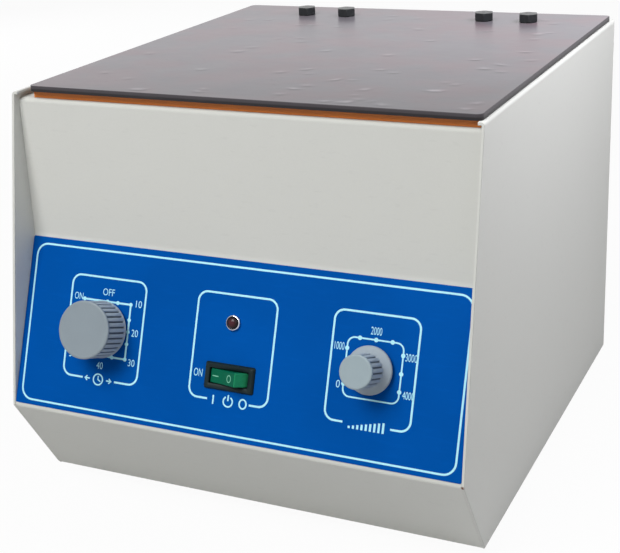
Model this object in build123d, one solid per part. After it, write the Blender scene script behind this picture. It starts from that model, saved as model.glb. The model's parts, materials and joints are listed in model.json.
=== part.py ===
"""Bench centrifuge with a hinged lid: a folded sheet-metal case, a swing-open lid, an angle rotor on a
rubber-mounted motor, and a sloping control panel with a timer, a power switch and a speed control.

Units are millimetres. Case coordinates used below: x = 0 on the centre plane, y = 0 at the top front
corner of the side panels and growing to the rear, z = 0 at the underside of the case. When the nodes are
written everything is moved so that the origin is the bottom centre of the whole object, +Z up, front at -Y.
"""
import os
from math import cos, radians, sin, sqrt, tan, atan2

from build123d import *

# ---------------------------------------------------------------- driving dimensions
case_width = 280.0          # over the outer faces of the side panels
case_depth = 290.0          # top front corner to the outer face of the rear panel
case_height = 239.0         # underside to the top edge of the side panels
sheet = 1.5                 # steel sheet thickness
knee_out = 34.0             # how far the knee stands in front of the top corner
knee_height = 57.0          # height of the knee over the underside
toe_back = 2.0              # bottom front corner, behind the top corner
kink_back = 3.4             # where the upper front meets the control panel
kink_height = 152.8
top_back = 3.4              # front sheet's top fold, behind the side panels' corner
deck_drop = 4.2             # deck level under the side panels' top edge

lid_thickness = 3.5
lid_gap_left = 10.4         # side panel's outer face to the lid's edge
lid_gap_right = 1.8
lid_front = 1.6
lid_rear_gap = 7.7          # lid's rear edge to the rear panel's outer face
hinge_left, hinge_right = -54.6, 76.0   # hinge centres along x
hinge_bolt_pitch = 30.4
hinge_bolt_reach = 36.3     # bolts to the hinge axis
hinge_length = 50.0
leaf = 1.2
pin_radius = 1.1

foot_height = 8.0
foot_radius = 11.0
foot_inset = 38.0

wall = 1.2                  # bowl wall
lip = 14.0                  # front sheet's top lip, front to rear
flange_width = 9.0          # bowl's flange

sleeve_count = 8
dish_tilt = 30.0            # sleeve axis from the vertical, degrees
run_gap = 0.05              # radial clearance of turning parts

dial_pitch = 83.0           # timer and speed shafts, from the centre plane
dial_drop = 50.5            # down the panel from the kink
timer_knob_radius = 16.5
timer_knob_height = 19.0
timer_ribs, speed_ribs = 32, 18
speed_knob_radius = 9.1
speed_knob_height = 20.0
speed_skirt_radius = 13.0
rocker_length, rocker_width = 27.6, 12.0
rocker_x = 1.2              # rocker's middle, from the centre plane
rocker_drop = 66.4
lamp_drop = 36.2
lamp_radius = 4.4
lens_radius = 3.4
skin = 0.4                  # panel overlay thickness

# ---------------------------------------------------------------- derived levels and positions
half = case_width / 2
inner = half - sheet
deck_z = case_height - deck_drop            # top of the front lip and of the bowl flange
plate_z = deck_z - sheet                    # top of the deck plate
flange_radius = min(half - 21.0, (case_depth - 52.0) / 2)
bowl_radius = flange_radius - flange_width
bowl_y = top_back + lip + 1.1 + flange_radius
motor_height = 0.377 * case_height
motor_z = 25.5
bowl_floor = motor_z + motor_height + 6.4
bowl_depth = deck_z - bowl_floor
scale = min(bowl_radius / 110.0, bowl_depth / 112.0)     # rotor size against the bowl it runs in
seal_z = deck_z + 0.1
lid_z = case_height + 0.1
axis_y = case_depth - 4.2
axis_z = (plate_z + lid_z) / 2
knuckle_radius = (lid_z - plate_z) / 2

slope = atan2(knee_out + kink_back, kink_height - knee_height)
panel_length = sqrt((knee_out + kink_back) ** 2 + (kink_height - knee_height) ** 2)
normal = Vector(0, -cos(slope), sin(slope))
down = Vector(0, -sin(slope), -cos(slope))

parts = {}


def add(name, *solids):
    """Collect solids under a node name."""
    parts.setdefault(name, []).extend(s for item in solids for s in item.solids())


def block(x0, x1, y0, y1, z0, z1):
    return Pos((x0 + x1) / 2, (y0 + y1) / 2, (z0 + z1) / 2) * Box(x1 - x0, y1 - y0, z1 - z0)


def rod(x, y, z0, z1, r):
    return Pos(x, y, (z0 + z1) / 2) * Cylinder(r, z1 - z0)


def bar_x(x0, x1, y, z, r):
    """Round bar along x."""
    return Pos((x0 + x1) / 2, y, z) * Rot(0, 90, 0) * Cylinder(r, x1 - x0)


def bar_y(x, y0, y1, z, r):
    """Round bar along y."""
    return Pos(x, (y0 + y1) / 2, z) * Rot(90, 0, 0) * Cylinder(r, y1 - y0)


def hexagon(across, height):
    """Hexagonal prism standing on z = 0."""
    return extrude(RegularPolygon(across / 2, 6, major_radius=False), height)


def lathe(points, x=0.0, y=0.0):
    """Solid of revolution about a vertical axis through (x, y) from (radius, z) points."""
    face = make_face(Polyline(*[(r, 0, z) for r, z in points], close=True))
    return Pos(x, y, 0) * revolve(face, Axis.Z)


def on_panel(x, drop, height=0.0):
    """Location on the control panel: local z points out of the panel, local y up the slope."""
    at = Vector(x, kink_back, kink_height) + down * drop + normal * height
    return Location(Plane(origin=at, x_dir=(1, 0, 0), z_dir=normal))


def disc(x, drop, h0, h1, r):
    """Round piece standing on the control panel between two heights."""
    return on_panel(x, drop, (h0 + h1) / 2) * Cylinder(r, h1 - h0)


def panel_block(x, drop, w, l, h0, h1):
    """Rectangular piece on the control panel; w along x, l along the slope."""
    return on_panel(x, drop, (h0 + h1) / 2) * Box(w, l, h1 - h0)


# ---------------------------------------------------------------- folded case
def side_panel():
    """Right-hand side panel with returns along its top, rear and bottom edges."""
    outline = Polyline((0, 0, case_height), (0, -knee_out, knee_height), (0, toe_back, 0),
                       (0, case_depth - sheet, 0), (0, case_depth - sheet, case_height), close=True)
    body = extrude(make_face(outline), 12.0, dir=(-1, 0, 0))
    edges = [e for e in body.edges().filter_by(Axis.Y) if e.center().X > -0.01]
    edges += [e for e in body.edges().filter_by(Axis.Z) if e.center().X > -0.01]
    body = fillet(edges, 2.0)
    body -= block(-13, -sheet, -knee_out - 5, case_depth - 2 * sheet, sheet, case_height - sheet)
    body -= block(-13, -3.5, -knee_out - 5, case_depth + 1, deck_z - 12, case_height + 1)
    body -= block(-13, -sheet, -knee_out - 5, toe_back + 16.2, -1, sheet + 1)
    return Pos(half, 0, 0) * body


right = side_panel()
add("right_side_panel", right)
add("left_side_panel", mirror(right, about=Plane.YZ))


def folded_front():
    """One sheet: top lip, upright, concave kink, control panel, knee, chamfer and bottom return."""
    run = FilletPolyline((0, top_back + lip, deck_z), (0, top_back, deck_z), (0, kink_back, kink_height),
                         (0, -knee_out, knee_height), (0, toe_back, 0), (0, toe_back + 16.0, 0),
                         radius=(2.4, 7.0, 2.6, 2.6))
    strips = [make_face(offset(run, sheet, side=side, closed=True)) for side in (Side.LEFT, Side.RIGHT)]
    face = min(strips, key=lambda strip: strip.bounding_box().max.Z)
    return extrude(face, inner, dir=(1, 0, 0), both=True)


front = folded_front()
deep = 12.0
cut_rocker = panel_block(rocker_x, rocker_drop, rocker_length - 2, rocker_width, -deep, deep)
cut_timer = disc(-dial_pitch, dial_drop, -deep, deep, 5.1)
cut_speed = disc(dial_pitch, dial_drop, -deep, deep, 3.7)
cut_lamp = disc(0, lamp_drop, -deep, deep, 3.2)
timer_screws = [disc(-dial_pitch + dx, dial_drop, -deep, deep, 1.6) for dx in (-14.0, 14.0)]
for cut in (cut_rocker, cut_timer, cut_speed, cut_lamp, *timer_screws):
    front -= cut
add("front_sheet", front)

overlay = panel_block(0, panel_length / 2 - 0.3, 2 * inner - 0.4, panel_length - 3.6, 0, skin)
overlay = fillet(overlay.edges().filter_by(lambda e: abs(e.length - skin) < 1e-3), 1.0)
for cut in (cut_rocker, cut_timer, cut_speed, cut_lamp):
    overlay -= cut
add("control_overlay", overlay)

# deck plate under the lip, with the bowl's opening and drilled for the hinge and flange screws
rear_y = case_depth - sheet
deck = block(-inner, inner, top_back + sheet + 1.0, case_depth, plate_z - sheet, plate_z)
deck -= block(-inner - 1, -half + 12.5, rear_y - sheet - 0.1, case_depth + 1, plate_z - 3, plate_z + 1)
deck -= block(half - 12.5, inner + 1, rear_y - sheet - 0.1, case_depth + 1, plate_z - 3, plate_z + 1)
deck -= rod(0, bowl_y, plate_z - 3, plate_z + 1, bowl_radius + wall + 0.2)
flange_holes = [Pos(0, bowl_y, 0) * loc for loc in PolarLocations(flange_radius - 4.0, 6, start_angle=30)]
hinge_screw_at = [(cx + dx, axis_y - 13.0) for cx in (hinge_left, hinge_right) for dx in (-16.0, 16.0)]
for loc in flange_holes:
    deck -= loc * rod(0, 0, plate_z - 3, plate_z + 1, 1.5)
for sx, sy in hinge_screw_at:
    deck -= rod(sx, sy, plate_z - 3, plate_z + 1, 1.5)
add("top_deck", deck)

# base plate on the panels' returns: holes for feet and motor mounts, cooling slots under the motor
floor = 2 * sheet
mount_pitch = 44.0
foot_at = [(sx * (half - foot_inset), y) for sx in (-1, 1) for y in (foot_inset, case_depth - foot_inset)]
mount_at = [(sx * mount_pitch, bowl_y + sy * mount_pitch) for sx in (-1, 1) for sy in (-1, 1)]
base_screw_at = [(sx * (half - 7.0), y) for sx in (-1, 1) for y in (0.3 * case_depth, 0.7 * case_depth)]
base_screw_at += [(sx * 0.32 * case_width, toe_back + 9.0) for sx in (-1, 1)]
base = block(-inner, inner, toe_back + 4.0, case_depth - 2 * sheet, sheet, floor)
for x, y in foot_at:
    base -= rod(x, y, 0, floor + 1, 2.1)
for x, y in mount_at:
    base -= rod(x, y, 0, floor + 1, 3.1)
for x, y in base_screw_at:
    base -= rod(x, y, 0, floor + 1, 1.5)
    for name in ("right_side_panel", "left_side_panel", "front_sheet"):
        parts[name] = [(parts[name][0] - rod(x, y, -1, sheet, 1.6)).solids()[0]]
for row in range(-3, 4):
    base -= block(-22, 22, bowl_y + row * 9 - 1.7, bowl_y + row * 9 + 1.7, 0, floor + 1)
add("base_plate", base)

# rear cover screwed to the side panels' returns, with cooling slots, inlet and fuse openings
inlet_x, inlet_z = 0.30 * case_width, 0.19 * case_height
fuse_x = inlet_x - 48.0
rear = block(-half + 2.2, half - 2.2, rear_y, case_depth, 2.0, plate_z - sheet)
for side in (-1, 1):
    for row in range(2):
        for col in range(7):
            x = side * case_width * 0.2 + (col - 3) * 8.0
            z = case_height * 0.52 + row * 46.0
            rear -= block(x - 1.7, x + 1.7, rear_y - 9, case_depth + 1, z, z + 38.0)
rear -= block(inlet_x - 14, inlet_x + 14, rear_y - 9, case_depth + 1, inlet_z - 10, inlet_z + 10)
rear -= bar_y(fuse_x, rear_y - 9, case_depth + 1, inlet_z, 6.2)
rear_screw_at = [(sx * (half - 6.8), z) for sx in (-1, 1) for z in (16.0, case_height / 2, case_height - 34.0)]
for x, z in rear_screw_at:
    drill = bar_y(x, rear_y - 9, case_depth + 1, z, 1.5)
    rear -= drill
    for name in ("right_side_panel", "left_side_panel"):
        parts[name] = [(parts[name][0] - drill).solids()[0]]
add("rear_cover", rear)


def pan_screw(length, r=1.5, head=2.9):
    """Pan-head screw, head on z = 0 and shank down -z, with a cross recess."""
    top = fillet(Cylinder(head, 1.9, align=(Align.CENTER, Align.CENTER, Align.MIN)).edges().sort_by(Axis.Z)[-1], 0.9)
    top -= Pos(0, 0, 1.5) * (Box(3.2, 0.7, 1.4) + Box(0.7, 3.2, 1.4))
    return top + Pos(0, 0, -length / 2) * Cylinder(r - 0.02, length)


for x, z in rear_screw_at:
    add("case_screws", Pos(x, case_depth, z) * Rot(-90, 0, 0) * pan_screw(5.0))
for x, y in base_screw_at:
    add("case_screws", Pos(x, y, 0) * Rot(180, 0, 0) * pan_screw(5.0))

# ---------------------------------------------------------------- feet
for x, y in foot_at:
    foot = lathe([(0, -foot_height), (foot_radius - 1.5, -foot_height), (foot_radius, -foot_height + 1.5),
                  (foot_radius - 1.5, sheet), (0, sheet)], x, y)
    foot -= rod(x, y, -foot_height - 1, -foot_height + 4.5, 4.2)
    foot -= rod(x, y, -foot_height, sheet + 1, 2.05)
    add("rubber_feet", foot)
    screw = Pos(x, y, -foot_height + 4.5) * Rot(180, 0, 0) * pan_screw(foot_height + 2.5, 2.0, 3.7)
    add("foot_screws", screw)
    nut = Pos(x, y, floor) * (hexagon(7.0, 3.0) - Pos(0, 0, 1.5) * Cylinder(2.0, 6))
    add("foot_nuts", nut)

# ---------------------------------------------------------------- bowl
collar_r, collar_top = 14.0 * scale, bowl_floor + wall + 9.0 * scale
bowl = lathe([(flange_radius, plate_z), (flange_radius, deck_z), (bowl_radius, deck_z),
              (bowl_radius, bowl_floor + wall + 12), (bowl_radius - 12, bowl_floor + wall),
              (collar_r + wall, bowl_floor + wall), (collar_r + wall, collar_top), (collar_r, collar_top),
              (collar_r, bowl_floor), (bowl_radius - 12 + 0.5, bowl_floor),
              (bowl_radius + wall, bowl_floor + 12.7), (bowl_radius + wall, plate_z)], 0, bowl_y)
for loc in flange_holes:
    bowl -= loc * rod(0, 0, plate_z - 3, deck_z + 1, 1.6)
add("chamber_bowl", bowl)
for loc in flange_holes:
    shank = Cylinder(1.48, 4.0, align=(Align.CENTER, Align.CENTER, Align.MAX))
    head = Cone(1.5, 2.9, 1.2, align=(Align.CENTER, Align.CENTER, Align.MAX))
    bowl_hole = loc * Pos(0, 0, deck_z) * head
    parts["chamber_bowl"] = [(parts["chamber_bowl"][0] - bowl_hole).solids()[0]]
    add("bowl_screws", loc * Pos(0, 0, deck_z) * (head + shank - Box(3.0, 0.6, 1.2)))

# ---------------------------------------------------------------- lid, seal and hinges
lid_x0, lid_x1 = -half + lid_gap_left, half - lid_gap_right
lid_y1 = case_depth - lid_rear_gap
bolt_at = [(cx + dx, axis_y - hinge_bolt_reach) for cx in (hinge_left, hinge_right)
           for dx in (-hinge_bolt_pitch / 2, hinge_bolt_pitch / 2)]
lid = block(lid_x0, lid_x1, lid_front, lid_y1, lid_z, lid_z + lid_thickness)
lid = fillet(lid.edges().filter_by(Axis.Z), 3.0)
lid = fillet(lid.faces().sort_by(Axis.Z)[-1].edges(), 0.4)
for x, y in bolt_at:
    lid -= rod(x, y, lid_z - 1, lid_z + lid_thickness + 1, 3.0)
add("lid_plate", lid)

leaf_tail = 9.0
seal = block(lid_x0 + 0.6, half - 3.8, top_back + 2.2, lid_y1 - 4.5, seal_z, lid_z)
seal -= rod(0, bowl_y, seal_z - 1, lid_z + 1, bowl_radius)
for cx in (hinge_left, hinge_right):
    seal -= block(cx - hinge_length / 2 - 0.5, cx + hinge_length / 2 + 0.5,
                  axis_y - hinge_bolt_reach - leaf_tail - 0.5, case_depth, lid_z - leaf - 1.9, lid_z + 1)
    seal -= block(cx - hinge_length / 2 - 1.0, cx + hinge_length / 2 + 1.0, axis_y - 24.0, case_depth,
                  seal_z - 1, lid_z + 1)
add("lid_seal", seal)

knuckles = 5
piece = hinge_length / knuckles


def hinge(cx):
    """Moving leaf, fixed leaf and pin of one butt hinge."""
    x0 = cx - hinge_length / 2
    barrel = [bar_x(x0 + i * piece + 0.1, x0 + (i + 1) * piece - 0.1, axis_y, axis_z, knuckle_radius)
              for i in range(knuckles)]
    moving = block(x0, x0 + hinge_length, axis_y - hinge_bolt_reach - leaf_tail, axis_y, lid_z - leaf, lid_z)
    fixed = block(x0, x0 + hinge_length, axis_y - 22.0, axis_y, plate_z, plate_z + leaf)
    for i, bit in enumerate(barrel):
        slot = block(x0 + i * piece - 0.1, x0 + (i + 1) * piece + 0.1, axis_y - knuckle_radius - 0.6,
                     axis_y + 9, plate_z - 1, lid_z + 1)
        if i % 2:
            fixed -= slot
        else:
            moving -= slot
    for i, bit in enumerate(barrel):
        if i % 2:
            moving += bit
        else:
            fixed += bit
    bore = bar_x(x0 - 1, x0 + hinge_length + 1, axis_y, axis_z, pin_radius + run_gap)
    moving -= bore
    fixed -= bar_x(x0 - 1, x0 + hinge_length + 1, axis_y, axis_z, pin_radius)
    for dx in (-hinge_bolt_pitch / 2, hinge_bolt_pitch / 2):
        moving -= rod(cx + dx, axis_y - hinge_bolt_reach, lid_z - 3, lid_z + 1, 3.0)
    for dx in (-16.0, 16.0):
        fixed -= rod(cx + dx, axis_y - 13.0, plate_z - 1, plate_z + 3, 1.6)
        fixed -= Pos(cx + dx, axis_y - 13.0, plate_z + leaf) * Cone(1.6, 3.1, leaf, align=(
            Align.CENTER, Align.CENTER, Align.MAX))
    pin = bar_x(x0, x0 + hinge_length, axis_y, axis_z, pin_radius)
    return moving, fixed, pin


for cx in (hinge_left, hinge_right):
    moving, fixed, pin = hinge(cx)
    add("hinge_moving_leaves", moving)
    add("hinge_fixed_leaves", fixed)
    add("hinge_pins", pin)
for sx, sy in hinge_screw_at:
    screw = Cone(1.55, 3.0, leaf, align=(Align.CENTER, Align.CENTER, Align.MAX))
    screw += Cylinder(1.48, 5.0, align=(Align.CENTER, Align.CENTER, Align.MAX))
    screw -= Box(3.4, 0.6, 1.2)
    add("hinge_deck_screws", Pos(sx, sy, plate_z + leaf) * screw)

nut_af, nut_height, washer = 11.6, 4.9, 0.6
lid_top = lid_z + lid_thickness
for x, y in bolt_at:
    bolt = Cylinder(2.95, 1.6 + leaf + lid_thickness + 3.4, align=(Align.CENTER, Align.CENTER, Align.MIN))
    bolt += Cylinder(5.2, 1.6, align=(Align.CENTER, Align.CENTER, Align.MIN))
    add("hinge_bolts", Pos(x, y, lid_z - leaf - 1.6) * bolt)
    ring = Cylinder(5.7, washer, align=(Align.CENTER, Align.CENTER, Align.MIN))
    ring -= Cylinder(3.05, 5)
    add("hinge_washers", Pos(x, y, lid_top) * ring)
    cap = hexagon(nut_af, nut_height) & Cone(7.5, 6.3, nut_height, align=(Align.CENTER, Align.CENTER, Align.MIN))
    cap = Rot(0, 0, -5.5 if x < 0 else -13.4) * cap
    cap -= Cylinder(2.95, 2 * (3.4 - washer))
    add("hinge_cap_nuts", Pos(x, y, lid_top + washer) * cap)

# ---------------------------------------------------------------- drive
motor_r = min(45.0, mount_pitch + 1.0)
top_of_motor = motor_z + motor_height
mount_plate = block(-62, 62, bowl_y - 62, bowl_y + 62, motor_z - 4.0, motor_z)
mount_plate = fillet(mount_plate.edges().filter_by(Axis.Z), 12.0)
for x, y in mount_at:
    mount_plate -= rod(x, y, 0, motor_z + 1, 3.1)
add("motor_mount_plate", mount_plate)
for x, y in mount_at:
    rubber = lathe([(3.0, floor), (11, floor), (9.5, floor + 4), (9.5, motor_z - 8), (11, motor_z - 4),
                    (3.0, motor_z - 4)], x, y)
    add("shock_mounts", rubber)
    stud = rod(x, y, sheet - 3.5, motor_z + 6.0, 3.0)
    for z0 in (sheet - 3.5, motor_z):
        stud += Pos(x, y, z0) * hexagon(10.0, 3.5)
    add("mount_studs", stud)

shaft_r = 5.0
body = lathe([(0, motor_z), (motor_r - 3, motor_z), (motor_r, motor_z + 3), (motor_r, top_of_motor - 10),
              (motor_r - 6, top_of_motor - 3), (20, top_of_motor - 3), (20, top_of_motor), (0, top_of_motor)], 0, bowl_y)
body -= rod(0, bowl_y, motor_z + 35, top_of_motor + 1, shaft_r + run_gap)
for x, y in mount_at:
    body -= rod(x, y, motor_z - 1, motor_z + 7.5, 7.5)
for k in range(12):
    vent = Pos(0, bowl_y, 0) * Rot(0, 0, 15 + 30 * k)
    body -= vent * block(motor_r - 3.0, motor_r + 2, -1.6, 1.6, top_of_motor - 30, top_of_motor - 13)
    body -= vent * block(motor_r - 3.0, motor_r + 2, -1.6, 1.6, motor_z + 14, motor_z + 26)
add("motor_body", body)
for k in (0, 180):
    cap = bar_x(motor_r - 6, motor_r + 5, 0, motor_z + 34, 6.5) + bar_x(motor_r + 5, motor_r + 7, 0, motor_z + 34, 5.4)
    cap -= block(motor_r + 6, motor_r + 8, -4.5, 4.5, motor_z + 33.4, motor_z + 34.6)
    cap = Pos(0, bowl_y, 0) * Rot(0, 0, k) * cap
    parts["motor_body"] = [(parts["motor_body"][0] - cap).solids()[0]]
    add("brush_caps", cap)

dish_z = bowl_floor + wall + 78.5 * scale       # dish top plane at the sleeve ring
ring_r = 52.0 * scale
tan_t, cos_t, sin_t = tan(radians(dish_tilt)), cos(radians(dish_tilt)), sin(radians(dish_tilt))


def dish(r):
    """Height of the dish's top surface at radius r."""
    return dish_z + (r - ring_r) * tan_t


hub_r, rim_r = 16.0 * scale, 76.0 * scale
plate = 6.0 * scale / cos_t
hub_top = dish(hub_r) + 5.0
hub_low = dish(hub_r) - plate - 18.0 * scale
shaft_top = hub_top + 12.0
shaft = rod(0, bowl_y, motor_z + 36, shaft_top, shaft_r)
add("motor_shaft", shaft)

rotor = lathe([(shaft_r, hub_low), (hub_r, hub_low), (hub_r, dish(hub_r) - plate), (rim_r, dish(rim_r) - plate),
               (rim_r + 4 * scale, dish(rim_r) - plate), (rim_r + 4 * scale, dish(rim_r) + 4 * scale),
               (rim_r, dish(rim_r) + 4 * scale), (rim_r, dish(rim_r)), (hub_r, dish(hub_r)),
               (hub_r, hub_top), (shaft_r, hub_top)], 0, bowl_y)
sleeve_r = 11.2 * scale
sleeve_length = 78.0 * scale
hole = Cylinder(sleeve_r, 60 * scale)
seats = [Pos(0, bowl_y, 0) * Rot(0, 0, 360.0 / sleeve_count * k) * Pos(ring_r, 0, dish_z) * Rot(0, -dish_tilt, 0)
         for k in range(sleeve_count)]
for seat in seats:
    rotor -= seat * hole
    rotor -= seat * Cylinder(12.8 * scale, 8.0, align=(Align.CENTER, Align.CENTER, Align.MIN))
add("rotor", rotor)
bottom = (Align.CENTER, Align.CENTER, Align.MIN)
sleeve = Pos(0, 0, -sleeve_length) * Cylinder(sleeve_r, sleeve_length, align=bottom)
sleeve = fillet(sleeve.edges().sort_by(Axis.Z)[0], 3.0 * scale)
sleeve += Cylinder(12.6 * scale, 1.5, align=bottom)
sleeve -= Pos(0, 0, -sleeve_length + 1.6) * Cylinder(sleeve_r - 1.0 * scale, sleeve_length + 5, align=bottom)
for seat in seats:
    add("tube_sleeves", seat * sleeve)

knob = lathe([(shaft_r, hub_top), (11, hub_top), (11, hub_top + 3), (9.5, hub_top + 4), (9.5, hub_top + 13),
              (7.5, hub_top + 15), (0, hub_top + 15), (0, shaft_top), (shaft_r, shaft_top)], 0, bowl_y)
for k in range(12):
    knob -= Pos(0, bowl_y, 0) * Rot(0, 0, 30 * k) * rod(10.4, 0, hub_top + 4, hub_top + 16, 1.5)
add("rotor_nut", knob)

boot_low = top_of_motor
boot = lathe([(collar_r - 3.0, boot_low), (19.0, boot_low), (19.0, bowl_floor), (collar_r, bowl_floor),
              (collar_r, collar_top + 1.5), (collar_r - 3.0, collar_top + 1.5)], 0, bowl_y)
add("shaft_boot", boot)

# ---------------------------------------------------------------- controls on the panel
base_h = skin + 2.2         # knob underside over the sheet


def ribbed(x, drop, h0, h1, r, count, groove):
    """Round knob body with lengthwise grooves all the way along its side."""
    body = disc(x, drop, h0, h1, r)
    cutter = Pos(r + groove * 0.2, 0, 0) * Cylinder(groove, h1 - h0 + 0.2)
    for k in range(count):
        body -= on_panel(x, drop, (h0 + h1) / 2) * Rot(0, 0, 360.0 / count * k) * cutter
    return body


def cap_disc(x, drop, h1, r, neck=0.5, thick=2.2):
    """Smooth front disc of a knob on a short neck, its front edge broken."""
    rim = disc(x, drop, h1 - thick, h1, r)
    front_edge = max(rim.edges().filter_by(GeomType.CIRCLE), key=lambda e: e.center().Z)
    return chamfer(front_edge, 0.5) + disc(x, drop, h1 - thick - neck, h1 - thick, r - 0.7)


# timer: body behind the sheet, shaft through it, knob outside
timer_h1 = base_h + timer_knob_height
timer_case = panel_block(-dial_pitch, dial_drop, 46, 46, -sheet - 40, -sheet)
timer_case += disc(-dial_pitch, dial_drop, -sheet, 0, 5.0)
timer_case -= disc(-dial_pitch, dial_drop, -sheet - 20, 1, 3.0 + run_gap)
for cut in timer_screws:
    timer_case -= cut
add("timer_body", timer_case)
for dx in (-14.0, 14.0):
    screw = disc(-dial_pitch + dx, dial_drop, -sheet - 6, 0, 1.55)
    add("timer_screws", screw)
timer_shaft = disc(-dial_pitch, dial_drop, -sheet - 19.9, timer_h1 - 4, 3.0)
add("timer_shaft", timer_shaft)
timer_knob = disc(-dial_pitch, dial_drop, base_h, base_h + 1.4, timer_knob_radius)
timer_knob += ribbed(-dial_pitch, dial_drop, base_h + 1.4, timer_h1 - 2.7, timer_knob_radius - 0.2, timer_ribs, 0.65)
timer_knob += cap_disc(-dial_pitch, dial_drop, timer_h1, timer_knob_radius)
timer_knob -= disc(-dial_pitch, dial_drop, base_h - 1, timer_h1 - 4, 3.0)
timer_knob -= disc(-dial_pitch, dial_drop, base_h - 1, base_h + 2, 12.0)
add("timer_knob", timer_knob)

# speed control: potentiometer, shaft and knob with a skirt
speed_h1 = base_h + speed_knob_height
pot = disc(dial_pitch, dial_drop, -sheet - 11, -sheet, 12.0) + disc(dial_pitch, dial_drop, -sheet, 0, 3.6)
pot += panel_block(dial_pitch, dial_drop + 13, 14, 6, -sheet - 6, -sheet - 4.5)
pot -= disc(dial_pitch, dial_drop, -sheet - 8, 1, 3.0 + run_gap)
add("speed_potentiometer", pot)
speed_shaft = disc(dial_pitch, dial_drop, -sheet - 7.9, speed_h1 - 4, 3.0)
add("speed_shaft", speed_shaft)
speed_knob = disc(dial_pitch, dial_drop, base_h, base_h + 1.2, speed_skirt_radius)
speed_knob += on_panel(dial_pitch, dial_drop, base_h + 2.5) * Cone(speed_skirt_radius - 0.4, speed_knob_radius + 0.6, 2.6)
speed_knob += ribbed(dial_pitch, dial_drop, base_h + 3.8, speed_h1 - 2.7, speed_knob_radius, speed_ribs, 0.7)
speed_knob += cap_disc(dial_pitch, dial_drop, speed_h1, speed_knob_radius)
speed_knob -= disc(dial_pitch, dial_drop, base_h - 1, speed_h1 - 4, 3.0)
add("speed_knob", speed_knob)

# power rocker: snap-in frame and a tilting button
frame_h = skin + 2.0
frame = panel_block(rocker_x, rocker_drop, rocker_length + 3.0, rocker_width + 3.0, skin, frame_h)
frame = fillet(frame.edges().filter_by(lambda e: abs(e.length - 2.0) < 1e-3), 1.2)
frame += panel_block(rocker_x, rocker_drop, rocker_length - 2, rocker_width, -sheet - 18, skin)
for dx in (-1, 1):
    frame += panel_block(rocker_x + dx * (rocker_length / 2 - 1.0), rocker_drop, 2.0, 6.0, -sheet - 3.4, -sheet)
well_w, well_l = rocker_length - 4.0, rocker_width - 3.6
frame -= panel_block(rocker_x, rocker_drop, well_w, well_l, -sheet - 9, frame_h + 1)
for dx in (-9.0, 0.0, 9.0):
    frame += panel_block(rocker_x + dx, rocker_drop, 0.8, 6.3, -sheet - 26, -sheet - 17.9)
pivot_r, pivot_h = 1.5, 0.4
pivot = on_panel(rocker_x, rocker_drop, pivot_h)
pin_bar = pivot * Rot(90, 0, 0) * Cylinder(pivot_r, rocker_width - 0.8)
frame -= pivot * Rot(90, 0, 0) * Cylinder(pivot_r + run_gap, rocker_width - 0.8)
add("rocker_frame", frame)
swing = 23.0
reach = well_w / 2 - 1.6
crown = Polyline((-reach, -5.0), (-reach, 5.4), (0, 4.6), (reach, 5.4), (reach, -5.0), (0, -5.6), close=True)
button = extrude(make_face(crown), (well_l - 0.5) / 2, both=True)
button = pivot * Rot(0, -swing, 0) * Rot(90, 0, 0) * button
add("rocker_button", button + pin_bar)

# pilot lamp
lamp = disc(0, lamp_drop, skin, skin + 1.2, lamp_radius)
lamp += disc(0, lamp_drop, skin + 1.2, skin + 1.9, lamp_radius - 0.4)
lamp += disc(0, lamp_drop, -sheet - 12, skin, 3.1)
lamp -= disc(0, lamp_drop, -2.0, skin + 3, 2.7)
lamp -= disc(0, lamp_drop, skin + 0.5, skin + 3, lens_radius)
add("lamp_bezel", lamp)
lens = disc(0, lamp_drop, -2.0, skin + 0.5, 2.7) + disc(0, lamp_drop, skin + 0.5, skin + 1.5, lens_radius)
dome_h = 0.55 * lens_radius
ball_r = (lens_radius ** 2 + dome_h ** 2) / (2 * dome_h)
dome = Pos(0, 0, dome_h - ball_r) * Sphere(ball_r) & Pos(0, 0, dome_h) * Box(9, 9, 2 * dome_h)
add("lamp_lens", lens + on_panel(0, lamp_drop, skin + 1.5) * dome)
lamp_nut = on_panel(0, lamp_drop, -sheet - 2.5) * (hexagon(8.0, 2.5) - Cylinder(3.1, 6))
add("lamp_nut", lamp_nut)

# ---------------------------------------------------------------- speed control board on the floor
board_x, board_y = 0.27 * case_width, toe_back + 40.0
standoff_at = [(board_x + dx, board_y + dy) for dx in (-32, 32) for dy in (-12, 12)]
board = block(board_x - 38, board_x + 38, board_y - 17, board_y + 17, floor + 8, floor + 9.6)
for x, y in standoff_at:
    board -= rod(x, y, floor + 7, floor + 11, 1.6)
    post = Pos(x, y, floor) * hexagon(6.0, 8.0) + rod(x, y, floor + 8, floor + 11.5, 1.55)
    post += rod(x, y, floor + 9.6, floor + 11.5, 2.9)
    add("board_standoffs", post)
add("control_board", board)
fins = block(board_x - 24, board_x + 2, board_y - 10, board_y + 10, floor + 9.6, floor + 13)
for k in range(5):
    fins += block(board_x - 24 + k * 6, board_x - 22 + k * 6, board_y - 10, board_y + 10, floor + 13, floor + 32)
add("heat_sink", fins)
add("capacitor", fillet(rod(board_x + 16, board_y, floor + 9.6, floor + 38, 8.0).edges().sort_by(Axis.Z)[-1], 1.0))

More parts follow.
